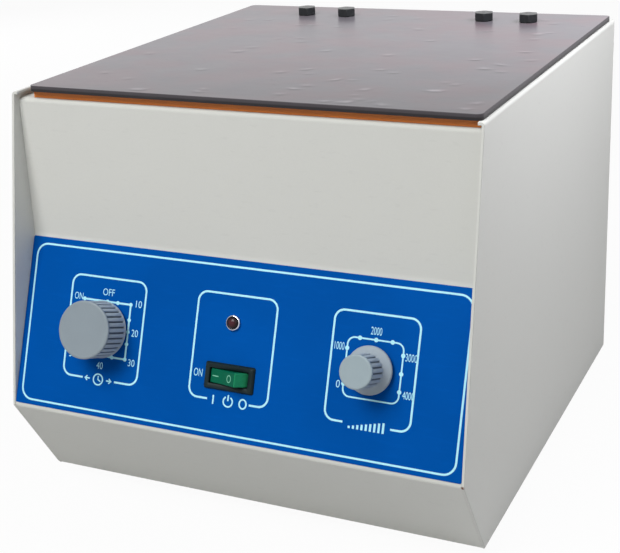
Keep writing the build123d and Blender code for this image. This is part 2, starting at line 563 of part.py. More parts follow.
# ---------------------------------------------------------------- mains inlet and fuse holder
inlet = block(inlet_x - 14, inlet_x + 14, rear_y - 18, case_depth, inlet_z - 10, inlet_z + 10)
inlet = fillet(inlet.edges().filter_by(Axis.Y), 1.5)
flange = block(inlet_x - 25, inlet_x + 25, case_depth, case_depth + 3.0, inlet_z - 11.5, inlet_z + 11.5)
flange = fillet(flange.edges().filter_by(Axis.Y), 3.0)
inlet += flange
inlet -= block(inlet_x - 12, inlet_x + 12, case_depth - 14, case_depth + 4, inlet_z - 8, inlet_z + 8)
for dx in (-20.0, 20.0):
    inlet -= bar_y(inlet_x + dx, rear_y - 9, case_depth + 4, inlet_z, 1.7)
add("power_inlet", inlet)
for dx, dz in ((-7.0, -1.6), (0.0, 2.4), (7.0, -1.6)):
    blade = block(inlet_x + dx - 1, inlet_x + dx + 1, rear_y - 26, case_depth - 1.0, inlet_z + dz - 2, inlet_z + dz + 2)
    add("inlet_pins", blade)
    parts["power_inlet"] = [(parts["power_inlet"][0] - blade).solids()[0]]
for dx in (-20.0, 20.0):
    hole = bar_y(inlet_x + dx, rear_y - 9, case_depth + 4, inlet_z, 1.5)
    parts["rear_cover"] = [(parts["rear_cover"][0] - hole).solids()[0]]
    add("inlet_screws", Pos(inlet_x + dx, case_depth + 3.0, inlet_z) * Rot(-90, 0, 0) * pan_screw(7.0))

holder = bar_y(fuse_x, rear_y - 28, case_depth, inlet_z, 6.1) + bar_y(fuse_x, case_depth, case_depth + 2.0, inlet_z, 8.0)
holder -= bar_y(fuse_x, rear_y - 22, case_depth + 3, inlet_z, 4.9)
add("fuse_holder", holder)
fuse_cap_out = 8.0
cap_r = 4.9 - run_gap
cap = bar_y(fuse_x, rear_y - 8, case_depth + 2.0, inlet_z, cap_r) + bar_y(
    fuse_x, case_depth + 2.1, case_depth + fuse_cap_out, inlet_z, 7.0) + bar_y(fuse_x, case_depth + 2.0, case_depth + 2.1, inlet_z, 4.0)
cap -= block(fuse_x - 5, fuse_x + 5, case_depth + 7.0, case_depth + 9, inlet_z - 0.8, inlet_z + 0.8)
add("fuse_cap", cap)

# ---------------------------------------------------------------- write the nodes
lead = on_panel(-dial_pitch, dial_drop, timer_h1).position + down * timer_knob_radius
front_y = min(lead.Y, -knee_out)
rear_most = case_depth + fuse_cap_out
move = Pos(0, -(front_y + rear_most) / 2, foot_height)
os.makedirs("parts", exist_ok=True)
for name, solids in parts.items():
    solids = [move * s for s in solids]
    shape = solids[0] if len(solids) == 1 else Compound(children=solids)
    export_step(shape, f"parts/{name}.step")
print("nodes", len(parts), "shift", move.position.Y)
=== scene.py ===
"""Looks of a bench centrifuge: painted case, printed control panel, knobs, switch, lamp, lid, chamber and stage.

Lengths in the code are millimetres until a mesh is finished; Blender's own units are metres. The frame has x to the
right, y to the rear and z up. Places on the sloping panel are (across, up), counted from the middle of the line that
joins the two dials, and height is counted from the steel sheet under the printed film.
"""

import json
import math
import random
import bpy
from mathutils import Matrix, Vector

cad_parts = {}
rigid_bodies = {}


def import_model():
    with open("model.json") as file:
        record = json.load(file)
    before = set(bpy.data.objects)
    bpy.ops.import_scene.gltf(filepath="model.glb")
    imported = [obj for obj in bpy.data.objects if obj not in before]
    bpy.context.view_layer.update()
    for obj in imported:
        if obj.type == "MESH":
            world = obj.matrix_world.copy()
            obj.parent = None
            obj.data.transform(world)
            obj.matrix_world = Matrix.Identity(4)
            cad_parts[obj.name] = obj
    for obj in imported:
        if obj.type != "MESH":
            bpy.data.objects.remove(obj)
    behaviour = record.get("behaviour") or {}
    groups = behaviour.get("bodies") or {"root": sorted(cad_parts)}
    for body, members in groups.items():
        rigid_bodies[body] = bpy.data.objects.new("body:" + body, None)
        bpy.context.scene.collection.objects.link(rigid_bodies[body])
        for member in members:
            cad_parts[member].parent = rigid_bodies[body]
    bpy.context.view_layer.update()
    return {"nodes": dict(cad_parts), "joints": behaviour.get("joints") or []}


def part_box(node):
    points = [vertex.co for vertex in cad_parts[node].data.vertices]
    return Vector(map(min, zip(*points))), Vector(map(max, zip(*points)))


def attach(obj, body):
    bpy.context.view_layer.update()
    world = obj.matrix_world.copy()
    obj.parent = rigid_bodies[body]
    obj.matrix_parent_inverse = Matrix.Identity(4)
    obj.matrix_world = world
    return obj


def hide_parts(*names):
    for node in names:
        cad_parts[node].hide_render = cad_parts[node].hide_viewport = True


bl_info = {
    "name": "Bench Centrifuge Looks",
    "version": (1, 0, 0),
    "blender": (4, 5, 0),
    "location": "View3D > Sidebar > Centrifuge",
    "description": "Finishes, prints and fits out the packed bench centrifuge and lights it on a plain stage",
    "category": "Object",
}

import bmesh
import bpy
from bpy.props import FloatProperty, FloatVectorProperty, IntProperty, PointerProperty
from bpy.types import Operator, Panel, PropertyGroup
from mathutils import Matrix, Vector, noise
from numpy import interp

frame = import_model()

MM = 0.001
FILM_TOP = 0.4  # height of the printed film
KNOB_LOW = 2.6  # height of the underside of both knobs
MIDDLE = (0, 0, 0.12)  # of the case, in metres
CREASE_SEED = 41
JOINTS = {joint["name"]: joint for joint in frame["joints"]}

PANEL_OUT = -Vector(JOINTS["timer_turn"]["axis"]).normalized()
PANEL_UP = PANEL_OUT.cross(Vector((1, 0, 0)))
TIMER_AT = Vector(JOINTS["timer_turn"]["pos_m"])
SPEED_AT = Vector(JOINTS["speed_turn"]["pos_m"])
DIAL_PITCH = (SPEED_AT - TIMER_AT).length / 2 / MM
SPINDLE = Vector(JOINTS["rotor_spin"]["pos_m"])

# From millimetres, upright or on the panel, to metres in the frame.
UPRIGHT = Matrix.Scale(MM, 4)
PANEL = (Matrix.Translation((TIMER_AT + SPEED_AT) / 2)
         @ Matrix(((1, 0, 0), PANEL_UP, PANEL_OUT)).transposed().to_4x4() @ UPRIGHT)
ROCKER_AT = PANEL.inverted() @ Vector(JOINTS["rocker_tilt"]["pos_m"])
LAMP_AT = PANEL.inverted() @ (sum(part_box("lamp_nut"), Vector()) / 2)


# Sizes and colours
def colour(name, description, default):
    return FloatVectorProperty(name=name, description=description, subtype="COLOR", min=0, max=1, default=default)


def share(name, description, default):
    return FloatProperty(name=name, description=description, subtype="FACTOR", min=0, max=1, default=default)


def length(name, description, millimetres):
    return FloatProperty(name=name, description=description, unit="LENGTH", min=0, default=millimetres * MM)


def angle(name, description, degrees):
    return FloatProperty(name=name, description=description, unit="ROTATION", default=math.radians(degrees))


def power(name, place, watts):
    return FloatProperty(name=name, description=f"Power of the {place}", unit="POWER", min=0, default=watts)


def count(name, description, number, least):
    return IntProperty(name=name, description=description, min=least, default=number)


class CaseSettings(PropertyGroup):
    """Paint of the folded sheets."""

    paint: colour("Paint", "Warm grey powder coat", (0.655, 0.659, 0.622))
    roughness: share("Roughness", "Roughness of the powder coat", 0.5)
    peel: length("Peel", "Size of the coat's orange-peel texture", 1.1)
    peel_depth: length("Peel depth", "Depth of the orange-peel texture", 0.01)
    knee: length("Knee height", "Height of the front's knee over the floor", 65.0)
    rust: colour("Rust", "Bare steel showing at chipped corners", (0.16, 0.07, 0.035))


class PanelSettings(PropertyGroup):
    """Printed film on the sloping panel."""

    film: colour("Film", "Blue printed film", (0.0, 0.079, 0.36))
    ink: colour("Ink", "Print on the film", (0.45, 0.87, 0.98))
    line: length("Line", "Width of the printed lines", 1.1)
    dot: length("Dot", "Radius of the scale dots", 1.15)
    print_height: length("Print height", "Height of the ink over the film", 0.05)
    frame_corner: length("Frame corner", "Corner radius of the three frames", 5.5)
    border_corner: length("Border corner", "Corner radius of the outer border", 7.0)


class KnobSettings(PropertyGroup):
    """Timer and speed knobs."""

    plastic: colour("Plastic", "Grey moulded plastic", (0.33, 0.385, 0.43))
    timer_face: colour("Timer face", "Timer knob's face", (0.258, 0.305, 0.338))
    speed_face: colour("Speed face", "Speed knob's face", (0.318, 0.39, 0.42))
    timer_radius: length("Timer radius", "Radius of the timer knob", 16.5)
    speed_radius: length("Speed radius", "Radius of the speed knob's grip", 9.1)
    skirt_radius: length("Skirt radius", "Radius of the speed knob's skirt", 13.0)
    timer_ribs: count("Timer ribs", "Ribs round the timer knob", 32, 6)
    speed_ribs: count("Speed ribs", "Ribs round the speed knob", 18, 6)


class SwitchSettings(PropertyGroup):
    """Power switch and lamp."""

    button: colour("Button", "Green rocker", (0.001, 0.117, 0.06))
    # The rocker's raised end takes this lighter colour as a painted highlight.
    rim: colour("Button end", "Lighter raised end of the rocker", (0.022, 0.3, 0.128))
    bezel: colour("Bezel", "Dark frame of the rocker", (0.006, 0.016, 0.018))
    mark: colour("Mark", "Marks on the rocker", (0.18, 0.52, 0.36))
    lens: colour("Lens", "Red lamp lens", (0.03, 0.006, 0.009))


class LidSettings(PropertyGroup):
    """Lid plate, the film on it, the seal under it and its nuts."""

    plate: colour("Plate", "Dark lid plate", (0.019, 0.017, 0.019))
    film: colour("Film", "Hazy film on the lid", (0.076, 0.066, 0.073))
    seal: colour("Seal", "Amber silicone seal", (0.64, 0.17, 0.012))
    creases: count("Creases", "Creases and blisters in the film", 64, 0)
    crease_height: length("Crease height", "Height of a large crease", 0.2)
    nut: colour("Nut", "Black oxide cap nuts", (0.01, 0.012, 0.014))


class ChamberSettings(PropertyGroup):
    """Bowl, rotor and drive."""

    bowl: colour("Bowl", "Spun stainless steel", (0.62, 0.62, 0.63))
    rotor: colour("Rotor", "Turned aluminium", (0.66, 0.67, 0.69))
    sleeve: colour("Sleeve", "Drawn aluminium", (0.56, 0.57, 0.59))
    motor: colour("Motor", "Motor enamel", (0.055, 0.06, 0.068))


class StageSettings(PropertyGroup):
    """Camera, lamps and floor."""

    camera_place: FloatVectorProperty(name="Camera", description="Place of the camera", subtype="TRANSLATION",
                                      unit="LENGTH", default=(0.3237, -0.7122, 0.4034))
    heading: angle("Heading", "Camera's turn to the left of straight back", 25.617)
    pitch: angle("Pitch", "Camera's dip under the horizon", 19.29)
    roll: angle("Roll", "Camera's roll", -2.663)
    lens: FloatProperty(name="Lens", description="Focal length on a 36 mm sensor", unit="CAMERA", default=75.16)
    shift: FloatProperty(name="Shift", description="Vertical lens shift", default=-0.0589)
    key: power("Key", "large lamp up left in front", 27.0)
    top: power("Top", "large lamp overhead", 1.2)
    side: power("Side", "long lamp over the right panel", 1.66)
    fill: power("Fill", "lamp at the right front", 1.68)
    rear: power("Rear", "lamp behind on the left", 9.0)
    sky: share("Sky", "Strength of the even light from all sides", 0.1)
    floor: colour("Floor", "Plain pale floor", (0.6, 0.6, 0.6))
    glow: share("Glow", "Share of plain white in what the camera sees of the floor", 0.955)


class CentrifugeSettings(PropertyGroup):
    """All sizes and colours."""

    case: PointerProperty(type=CaseSettings)
    panel: PointerProperty(type=PanelSettings)
    knobs: PointerProperty(type=KnobSettings)
    switch: PointerProperty(type=SwitchSettings)
    lid: PointerProperty(type=LidSettings)
    chamber: PointerProperty(type=ChamberSettings)
    stage: PointerProperty(type=StageSettings)


# Shader nodes
class Wire:
    """An output socket. Python's operators on it add Math nodes."""

    def __init__(self, nodes, socket):
        self.nodes = nodes
        self.socket = socket

    def maths(self, operation, *terms):
        return self.nodes.node("ShaderNodeMath", {"operation": operation}, dict(enumerate(terms)))

    def __abs__(self):
        return self.maths("ABSOLUTE", self)

    def wave(self):
        """Sine of the value."""
        return self.maths("SINE", self)

    def most(self, other):
        return self.maths("MAXIMUM", self, other)

    def step(self, low, high):
        """Smooth 0 to 1 as the value goes from low to high."""
        return self.nodes.node("ShaderNodeMapRange", {"interpolation_type": "SMOOTHSTEP"},
                               {"Value": self, "From Min": low, "From Max": high})


def overload(name, operation):
    """Give wires a Python operator and its reflected form."""
    setattr(Wire, f"__{name}__", lambda self, other: self.maths(operation, self, other))
    setattr(Wire, f"__r{name}__", lambda self, other: self.maths(operation, other, self))


for name, operation in (("add", "ADD"), ("sub", "SUBTRACT"), ("mul", "MULTIPLY"), ("truediv", "DIVIDE")):
    overload(name, operation)


def opaque(shade):
    """A colour with full alpha, or a wire as it is."""
    return shade if isinstance(shade, Wire) else (*shade[:3], 1.0)


class Nodes:
    """Adds nodes to a tree."""

    def __init__(self, tree):
        self.tree = tree

    def feed(self, socket, value):
        """Link a wire to an input, or set the input to a constant."""
        if isinstance(value, Wire):
            self.tree.links.new(value.socket, socket)
        else:
            socket.default_value = value

    def node(self, kind, settings=None, sockets=None, out=0):
        """Add a node: settings first, then its sockets' values or links. Returns an output if it has any."""
        made = self.tree.nodes.new(kind)
        for name, value in (settings or {}).items():
            setattr(made, name, value)
        for name, value in (sockets or {}).items():
            self.feed(made.inputs[name], value)
        return Wire(self, made.outputs[out]) if made.outputs else None

    def plain_rays(self):
        """1 for rays that show the background itself: camera, glossy and transmission rays."""
        camera, glossy, through = (self.node("ShaderNodeLightPath", out=f"Is {kind} Ray")
                                   for kind in ("Camera", "Glossy", "Transmission"))
        return camera.most(glossy).most(through)


class Finish(Nodes):
    """A material: one Principled shader and the nodes that vary it over the surface."""

    def __init__(self, name, base, roughness, **constants):
        self.material = bpy.data.materials.new(name)
        self.material.use_nodes = True
        self.material.diffuse_color = opaque(base)
        super().__init__(self.material.node_tree)
        self.shader = next(n for n in self.tree.nodes if n.type == "BSDF_PRINCIPLED")
        self.wear(opaque(base), roughness)
        for socket, value in constants.items():
            self.vary(socket.replace("_", " "), value)

    def vary(self, socket, value):
        """Set or link one of the shader's own sockets."""
        self.feed(self.shader.inputs[socket], value)

    def wear(self, shade, roughness):
        """Set or link the colour and the roughness."""
        self.vary("Base Color", shade)
        self.vary("Roughness", roughness)

    def place(self):
        """Where the shaded point is in the frame at rest, in metres."""
        return self.node("ShaderNodeTexCoord", out=3)

    def axis(self, index):
        """The point's x, y or z, in millimetres."""
        parts = self.vector("MULTIPLY", self.place(), (1 / MM,) * 3)
        return self.node("ShaderNodeSeparateXYZ", None, {0: parts}, index)

    def vector(self, operation, *terms, out=0):
        return self.node("ShaderNodeVectorMath", {"operation": operation}, dict(enumerate(terms)), out)

    def away(self, point):
        """Distance from a point of the frame, in millimetres."""
        return self.vector("DISTANCE", self.place(), tuple(point), out=1) / MM

    def off_axis(self, origin, axis):
        """Distance from a line, in millimetres."""
        arm = self.vector("CROSS_PRODUCT", self.vector("SUBTRACT", self.place(), tuple(origin)), tuple(axis))
        return self.vector("LENGTH", arm, out=1) / MM

    def rings(self, origin, axis, pitch):
        """0 to 1 and back with every pitch away from a line."""
        return (self.off_axis(origin, axis) * (math.tau / pitch)).wave() * 0.5 + 0.5

    def over(self, origin, axis):
        """Height over a plane, in millimetres."""
        arm = self.vector("SUBTRACT", self.place(), tuple(origin))
        return self.vector("DOT_PRODUCT", arm, tuple(axis), out=1) / MM

    def facing(self):
        """0 where the surface faces the eye, up to 1 at grazing angles."""
        return self.node("ShaderNodeLayerWeight", None, {"Blend": 0.5}, 1)

    def noise(self, size, detail=2.0, stretch=(1, 1, 1)):
        """Soft noise, about 0 to 1, with features about size millimetres; stretch above 1 makes them finer."""
        where = self.vector("MULTIPLY", self.place(), tuple(stretch))
        return self.node("ShaderNodeTexNoise", None, {"Vector": where, "Scale": 1 / (size * MM), "Detail": detail})

    def cells(self, size):
        """Distance to the nearest of scattered points about size millimetres apart."""
        return self.node("ShaderNodeTexVoronoi", None, {"Vector": self.place(), "Scale": 1 / (size * MM)})

    def mix(self, kind, amount, first, second):
        return self.node("ShaderNodeMix", {"data_type": "RGBA", "blend_type": kind},
                         {0: amount, 6: opaque(first), 7: opaque(second)}, 2)

    def blend(self, amount, first, second):
        """Colour mix from first to second."""
        return self.mix("MIX", amount, first, second)

    def tone(self, shade, gain):
        """Colour made lighter or darker by a value round 1."""
        grey = self.node("ShaderNodeCombineXYZ", None, dict.fromkeys(range(3), gain))
        return self.mix("MULTIPLY", 1.0, shade, grey)

    def relief(self, *layers, rounding=0.0):
        """Bump layers of (height, depth in mm), over edges that are rounded by so many millimetres."""
        normal = None
        if rounding:
            normal = self.node("ShaderNodeBevel", {"samples": 6}, {"Radius": rounding * MM})
        for height, depth in layers:
            sockets = {"Height": height, "Distance": depth * MM, "Strength": 1.0}
            if normal:
                sockets["Normal"] = normal
            normal = self.node("ShaderNodeBump", None, sockets)
        self.vary("Normal", normal)
        return self


def grained(name, base, roughness, fine, coarse, tone, dull, depth, rounding=0.0, **constants):
    """Finish varied by two noises; tone and dull (roughness) are (start, share of fine, share of coarse)."""
    finish = Finish(name, base, roughness, **constants)
    small, large = finish.noise(*fine), finish.noise(*coarse)
    gain, rough = (start + a * small + b * large for start, a, b in (tone, dull))
    finish.wear(finish.tone(base, gain), rough)
    return finish.relief((small, depth), rounding=rounding)


def metal_finish(name, base, roughness, grain, stretch=(1, 1, 1), depth=0.004, rounding=0.15):
    """Plated or rolled metal with a directional grain and faint stains."""
    return grained(name, base, roughness, (grain, 3, stretch), (9.0, 3), (0.86, 0.16, 0.12),
                   (roughness - 0.08, 0.1, 0.12), depth, rounding, Metallic=1.0)


def plastic_finish(name, base, roughness, grain=0.5, depth=0.006, rounding=0.15, **constants):
    """Moulded plastic with a fine spark-eroded grain."""
    return grained(name, base, roughness, (grain,), (12.0,), (0.92, 0.06, 0.1), (roughness - 0.06, 0.08, 0.06),
                   depth, rounding, **constants)


def enamel_finish(name, base, roughness=0.38):
    """Sprayed enamel on castings and brackets."""
    return grained(name, base, roughness, (1.6, 3), (18.0,), (0.85, 0.12, 0.18), (roughness - 0.05, 0.12, 0.0),
                   0.02, 0.3, Coat_Weight=0.25, Coat_Roughness=0.2)


def turned_finish(name, base, pitch):
    """Metal with fine lathe rings about the spindle."""
    metal = Finish(name, base, 0.3, Metallic=1.0)
    rings = metal.rings(SPINDLE, (0, 0, 1), pitch)
    smear = metal.noise(14.0, 3)
    fine = metal.noise(0.8)
    metal.wear(metal.tone(base, 0.88 + 0.07 * rings + 0.12 * smear), 0.24 + 0.08 * rings * fine + 0.14 * smear)
    return metal.relief((rings * 0.7 + fine * 0.3, 0.006), rounding=0.2)


def rubber_finish(name):
    """Black moulded rubber with a dusty bloom."""
    black = (0.018, 0.018, 0.019)
    rubber = Finish(name, black, 0.75, Specular_IOR_Level=0.35)
    bloom = rubber.noise(5.0, 4).step(0.45, 0.75)
    pores = rubber.noise(0.6, 3)
    rubber.wear(rubber.blend(bloom * 0.5, black, (0.055, 0.052, 0.049)), 0.68 + 0.18 * pores)
    return rubber.relief((pores, 0.02), rounding=0.3)


# Meshes
# One pitch of a knob's rim, its groove in the middle, as (share of the pitch, share of the groove's depth).
RIB = ((-0.5, 0.0), (-0.27, 0.03), (-0.2, 0.15), (-0.13, 0.75), (-0.06, 1.0), (0.06, 1.0), (0.13, 0.75), (0.2, 0.15),
       (0.27, 0.03))


def add(name, data):
    """New object in the scene."""
    made = bpy.data.objects.new(name, data)
    bpy.context.scene.collection.objects.link(made)
    return made


def piece(name, bm, placed, finishes, body, replaces=(), smooth=30):
    """Turn a bmesh in millimetres into an object that rides on a body."""
    bmesh.ops.remove_doubles(bm, verts=bm.verts, dist=1e-4)
    bmesh.ops.recalc_face_normals(bm, faces=bm.faces)
    mesh = bpy.data.meshes.new(name)
    bm.to_mesh(mesh)
    bm.free()
    mesh.transform(placed)
    mesh.shade_smooth()
    mesh.set_sharp_from_angle(angle=math.radians(smooth))
    for finish in finishes:
        mesh.materials.append(finish.material)
    made = add(name, mesh)
    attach(made, body)
    if replaces:
        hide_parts(*replaces)
    return made


def dress(nodes, finish):
    """Give CAD nodes a finish."""
    for name in nodes.split():
        mesh = frame["nodes"][name].data
        mesh.materials.clear()
        mesh.materials.append(finish.material)


def join_rings(bm, rings):
    """Skin between closed rings of vertices; a ring of one vertex is a tip."""
    for low, high in zip(rings, rings[1:]):
        for i in range(max(len(low), len(high))):
            j = i + 1
            corners = [low[i % len(low)], low[j % len(low)], high[j % len(high)], high[i % len(high)]]
            corners = list(dict.fromkeys(corners))
            if len(corners) > 2:
                bm.faces.new(corners)


def turn(bm, profile, at, steps, section=((0.0, 0.0),)):
    """Surface of revolution from (radius, height[, groove depth]) points about z; every step repeats the section."""
    spots = [((k + share) * math.tau / steps, cut) for k in range(steps) for share, cut in section]
    rings = []
    for radius, height, *depth in profile:
        if radius < 1e-6:
            rings.append([bm.verts.new((*at, height))])
            continue
        ring = []
        for angle, cut in spots:
            reach = radius - cut * sum(depth)
            ring.append(bm.verts.new((at[0] + reach * math.cos(angle), at[1] + reach * math.sin(angle), height)))
        rings.append(ring)
    join_rings(bm, rings)


def beside(radius, height, *spots):
    """Profile points given as (distance in from a radius, rise over a height[, groove depth])."""
    return [(radius - inwards, height + rise, *depth) for inwards, rise, *depth in spots]


def rounded(width, depth, radius, at=(0, 0), arc=6):
    """Outline of a rounded rectangle, anticlockwise from its lower right corner's arc."""
    radius = min(radius, width / 2 - 1e-3, depth / 2 - 1e-3)
    points = []
    for quarter, (sx, sy) in enumerate(((1, -1), (1, 1), (-1, 1), (-1, -1))):
        for step in range(arc + 1):
            angle = math.radians(-90 + 90 * quarter + 90 * step / arc)
            points.append((at[0] + sx * (width / 2 - radius) + radius * math.cos(angle),
                           at[1] + sy * (depth / 2 - radius) + radius * math.sin(angle)))
    return points


def loft(bm, at, sections, lid_low=True, lid_high=True):
    """Skin over rounded rectangles given as (width, depth, corner radius, height)."""
    rings = [[bm.verts.new((x, y, height)) for x, y in rounded(width, depth, radius, at)]
             for width, depth, radius, height in sections]
    join_rings(bm, rings)
    if lid_low:
        bm.faces.new(rings[0])
    if lid_high:
        bm.faces.new(rings[-1])


# Print
class Print:
    """Ink on the panel: strokes, dots and characters, all standing a hair over what they lie on."""

    def __init__(self, settings, base=FILM_TOP):
        self.bm = bmesh.new()
        self.line = settings.line / MM
        self.dot_radius = settings.dot / MM
        self.low = base
        self.high = base + settings.print_height / MM

    def stroke(self, points, closed=False, width=None):
        """Line of even width along points."""
        half = (width or self.line) / 2
        sharpest = 0.4  # least cosine used for a mitre
        path = [Vector((*p, 0)) for p in points]
        corners = []
        for i, here in enumerate(path):
            before = path[i - 1] if closed or i else here
            after = path[(i + 1) % len(path)] if closed or i < len(path) - 1 else here
            into = (here - before).normalized()
            out = (after - here).normalized()
            along = (into + out).normalized()
            across = Vector((-along.y, along.x, 0))
            reach = half / max(sharpest, across.dot(Vector((-out.y, out.x, 0)) if out.length else across))
            left, right = here + across * reach, here - across * reach
            corners.append([self.bm.verts.new((v.x, v.y, z)) for v, z in
                            ((left, self.low), (right, self.low), (right, self.high), (left, self.high))])
        if closed:
            corners.append(corners[0])
        join_rings(self.bm, corners)
        if not closed:
            self.bm.faces.new(corners[0])
            self.bm.faces.new(corners[-1])
        return self

    def dot(self, x, y):
        """Filled round dot, a little over the lines that it sits on."""
        top = self.high + 0.01
        turn(self.bm, [(0, self.low), (self.dot_radius, self.low), (self.dot_radius, top), (0, top)], (x, y), 20)

    def ring(self, x, y, radius, start=0, stop=360, width=None, stretch=1.0):
        """Round line, or part of one, between two angles in degrees."""
        full = stop - start >= 360
        steps = max(6, int((stop - start) / 12))
        turns = [math.radians(start + (stop - start) * k / steps) for k in range(steps if full else steps + 1)]
        self.stroke([(x + radius * math.cos(a), y + radius * stretch * math.sin(a)) for a in turns], full, width)

    def words(self, text, x, y, height, width):
        """Characters fitted to a height and a width about a centre."""
        curve = bpy.data.curves.new("characters", "FONT")
        curve.body = text
        curve.resolution_u = 4
        curve.offset = -0.003
        holder = bpy.data.objects.new("characters", curve)
        flat = bpy.data.meshes.new_from_object(holder)
        spots = [v.co.copy() for v in flat.vertices]
        low = [min(c[k] for c in spots) for k in range(2)]
        size = [max(c[k] for c in spots) - low[k] for k in range(2)]
        for vertex in flat.vertices:
            across, up = ((vertex.co[k] - low[k]) / size[k] - 0.5 for k in range(2))
            vertex.co = (x + across * width, y + up * height, self.low)
        fresh = len(self.bm.faces)
        self.bm.from_mesh(flat)
        self.bm.faces.ensure_lookup_table()
        raised = bmesh.ops.extrude_face_region(self.bm, geom=self.bm.faces[fresh:])
        lifted = [v for v in raised["geom"] if isinstance(v, bmesh.types.BMVert)]
        bmesh.ops.translate(self.bm, verts=lifted, vec=(0, 0, self.high - self.low))
        for unused, data in ((holder, bpy.data.objects), (curve, bpy.data.curves), (flat, bpy.data.meshes)):
            data.remove(unused)

    def frame(self, at, width, depth, corner, gap, aside=0.0):
        """Rounded frame with a gap near the middle of its lower side."""
        outline = rounded(width, depth, corner, at, 8)
        low, middle = at[1] - depth / 2, at[0] + aside
        return self.stroke([(middle + gap / 2, low), *outline, (middle - gap / 2, low)])

    def finish(self, name, ink):
        piece(name, self.bm, PANEL, (ink,), "case")


# Operators
class CENTRIFUGE_OT_stage(Operator):
    """Camera, lamps, world and plain pale floor"""

    bl_idname = "centrifuge.stage"
    bl_label = "Stage"

    def execute(self, context):
        stage = context.scene.centrifuge.stage
        self.camera(stage)
        self.lamp("key_lamp", stage.key, (-0.32, -1.22, 1.5), 0.9)
        self.lamp("top_lamp", stage.top, (0.1, -0.25, 1.6), 1.1)
        side = self.lamp("side_lamp", stage.side, (0.33, 0.06, 0.5), 0.12, 0.42, (0.14, 0.03, 0.24))
        side.data.color = (0.98, 0.98, 1.04)
        self.lamp("fill_lamp", stage.fill, (1.05, -0.95, 1.00), 0.8)
        rear = self.lamp("rear_lamp", stage.rear, (-1.3, 1.25, 0.6), 0.4)
        rear.visible_glossy = False
        self.world(stage)
        self.floor(stage)
        bpy.context.scene.view_settings.view_transform = "Standard"
        return {"FINISHED"}

    def camera(self, stage):
        camera = add("camera", bpy.data.cameras.new("camera"))
        camera.matrix_world = (Matrix.Translation(stage.camera_place) @ Matrix.Rotation(stage.heading, 4, "Z")
                               @ Matrix.Rotation(math.pi / 2 - stage.pitch, 4, "X")
                               @ Matrix.Rotation(stage.roll, 4, "Z"))
        camera.data.lens = stage.lens
        camera.data.shift_y = stage.shift
        camera.data.clip_start = 0.01
        bpy.context.scene.camera = camera

    def lamp(self, name, watts, place, depth, width=None, target=MIDDLE):
        """Lamp aimed at a target, square unless it has a width of its own."""
        light = bpy.data.lights.new(name, "AREA")
        light.shape = "RECTANGLE"
        light.size, light.size_y = width or depth, depth
        light.energy = watts
        lamp = add(name, light)
        aim = Vector(target) - Vector(place)
        lamp.matrix_world = Matrix.Translation(place) @ aim.to_track_quat("-Z", "Y").to_matrix().to_4x4()
        lamp.visible_camera = False
        return lamp

    def world(self, stage):
        backdrop = 0.975
        world = bpy.data.worlds.new("studio")
        world.use_nodes = True
        world.node_tree.nodes.clear()
        nodes = Nodes(world.node_tree)
        lit = nodes.node("ShaderNodeBackground", None, {"Color": (1, 1, 1, 1), "Strength": stage.sky})
        seen = nodes.node("ShaderNodeBackground", None, {"Color": opaque((backdrop,) * 3)})
        both = nodes.node("ShaderNodeMixShader", None, {0: nodes.plain_rays(), 1: lit, 2: seen})
        nodes.node("ShaderNodeOutputWorld", None, {"Surface": both})
        bpy.context.scene.world = world

    def floor(self, stage):
        """Matt floor that takes shadows, mixed with plain white where it is seen."""
        paper = Finish("floor_paper", stage.floor, 0.9, Specular_IOR_Level=0.0)
        lit = Wire(paper, paper.shader.outputs[0])
        both = paper.node("ShaderNodeMixShader", None,
                          {0: paper.plain_rays() * stage.glow, 1: lit, 2: paper.node("ShaderNodeEmission")})
        output = next(n for n in paper.tree.nodes if n.type == "OUTPUT_MATERIAL")
        paper.feed(output.inputs["Surface"], both)
        bm = bmesh.new()
        bmesh.ops.create_grid(bm, x_segments=8, y_segments=8, size=6.0)
        mesh = bpy.data.meshes.new("floor")
        bm.to_mesh(mesh)
        bm.free()
        mesh.materials.append(paper.material)
        ground = add("floor", mesh)
        ground.location.z = -0.5 * MM


class CENTRIFUGE_OT_case(Operator):
    """Paint the folded case, its deck, base and rear cover"""

    bl_idname = "centrifuge.case"
    bl_label = "Case"

    def execute(self, context):
        case = context.scene.centrifuge.case
        coat = Finish("case_paint", case.paint, case.roughness, Specular_IOR_Level=0.1)
        peel = coat.noise(case.peel / MM)
        cloud = coat.noise(55.0)
        speck = coat.noise(0.7).step(0.66, 0.78)
        # Darker and rougher towards the bottom of the case, up to 26 mm over the floor.
        towards_floor = 1 - coat.axis(2).step(4.0, 26.0)
        scuffs = coat.noise(4.0, 4, (0.5, 1, 2)).step(0.6, 0.74)
        shade = coat.tone(case.paint, 0.975 + 0.03 * peel + 0.02 * cloud - 0.04 * speck - 0.05 * towards_floor - 0.03 * scuffs)
        low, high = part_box("right_side_panel")
        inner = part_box("left_side_panel")[1].x - 0.0006
        # Chipped corners: place in metres, radius in millimetres.
        chips = (((high.x - 0.0009, low.y + 0.0008, case.knee), 1.5),
                 ((inner, low.y + 0.0335, 0.205), 0.9),
                 ((inner, low.y + 0.03, 0.19), 0.7),
                 ((inner, low.y + 0.027, 0.158), 0.6),
                 ((high.x - 0.0008, low.y + 0.0335, high.z - 0.03), 0.6))
        for spot, radius in chips:
            ragged = coat.away(spot) + 1.2 * coat.noise(0.9)
            shade = coat.blend(1 - ragged.step(radius * 0.8, radius * 1.3), shade, case.rust)
        coat.wear(shade, case.roughness - 0.06 + 0.1 * peel + 0.06 * cloud + 0.08 * towards_floor)
        coat.relief((peel, case.peel_depth / MM), (coat.noise(45.0, 1), 0.2), rounding=0.7)
        dress("left_side_panel right_side_panel front_sheet top_deck base_plate rear_cover", coat)
        return {"FINISHED"}


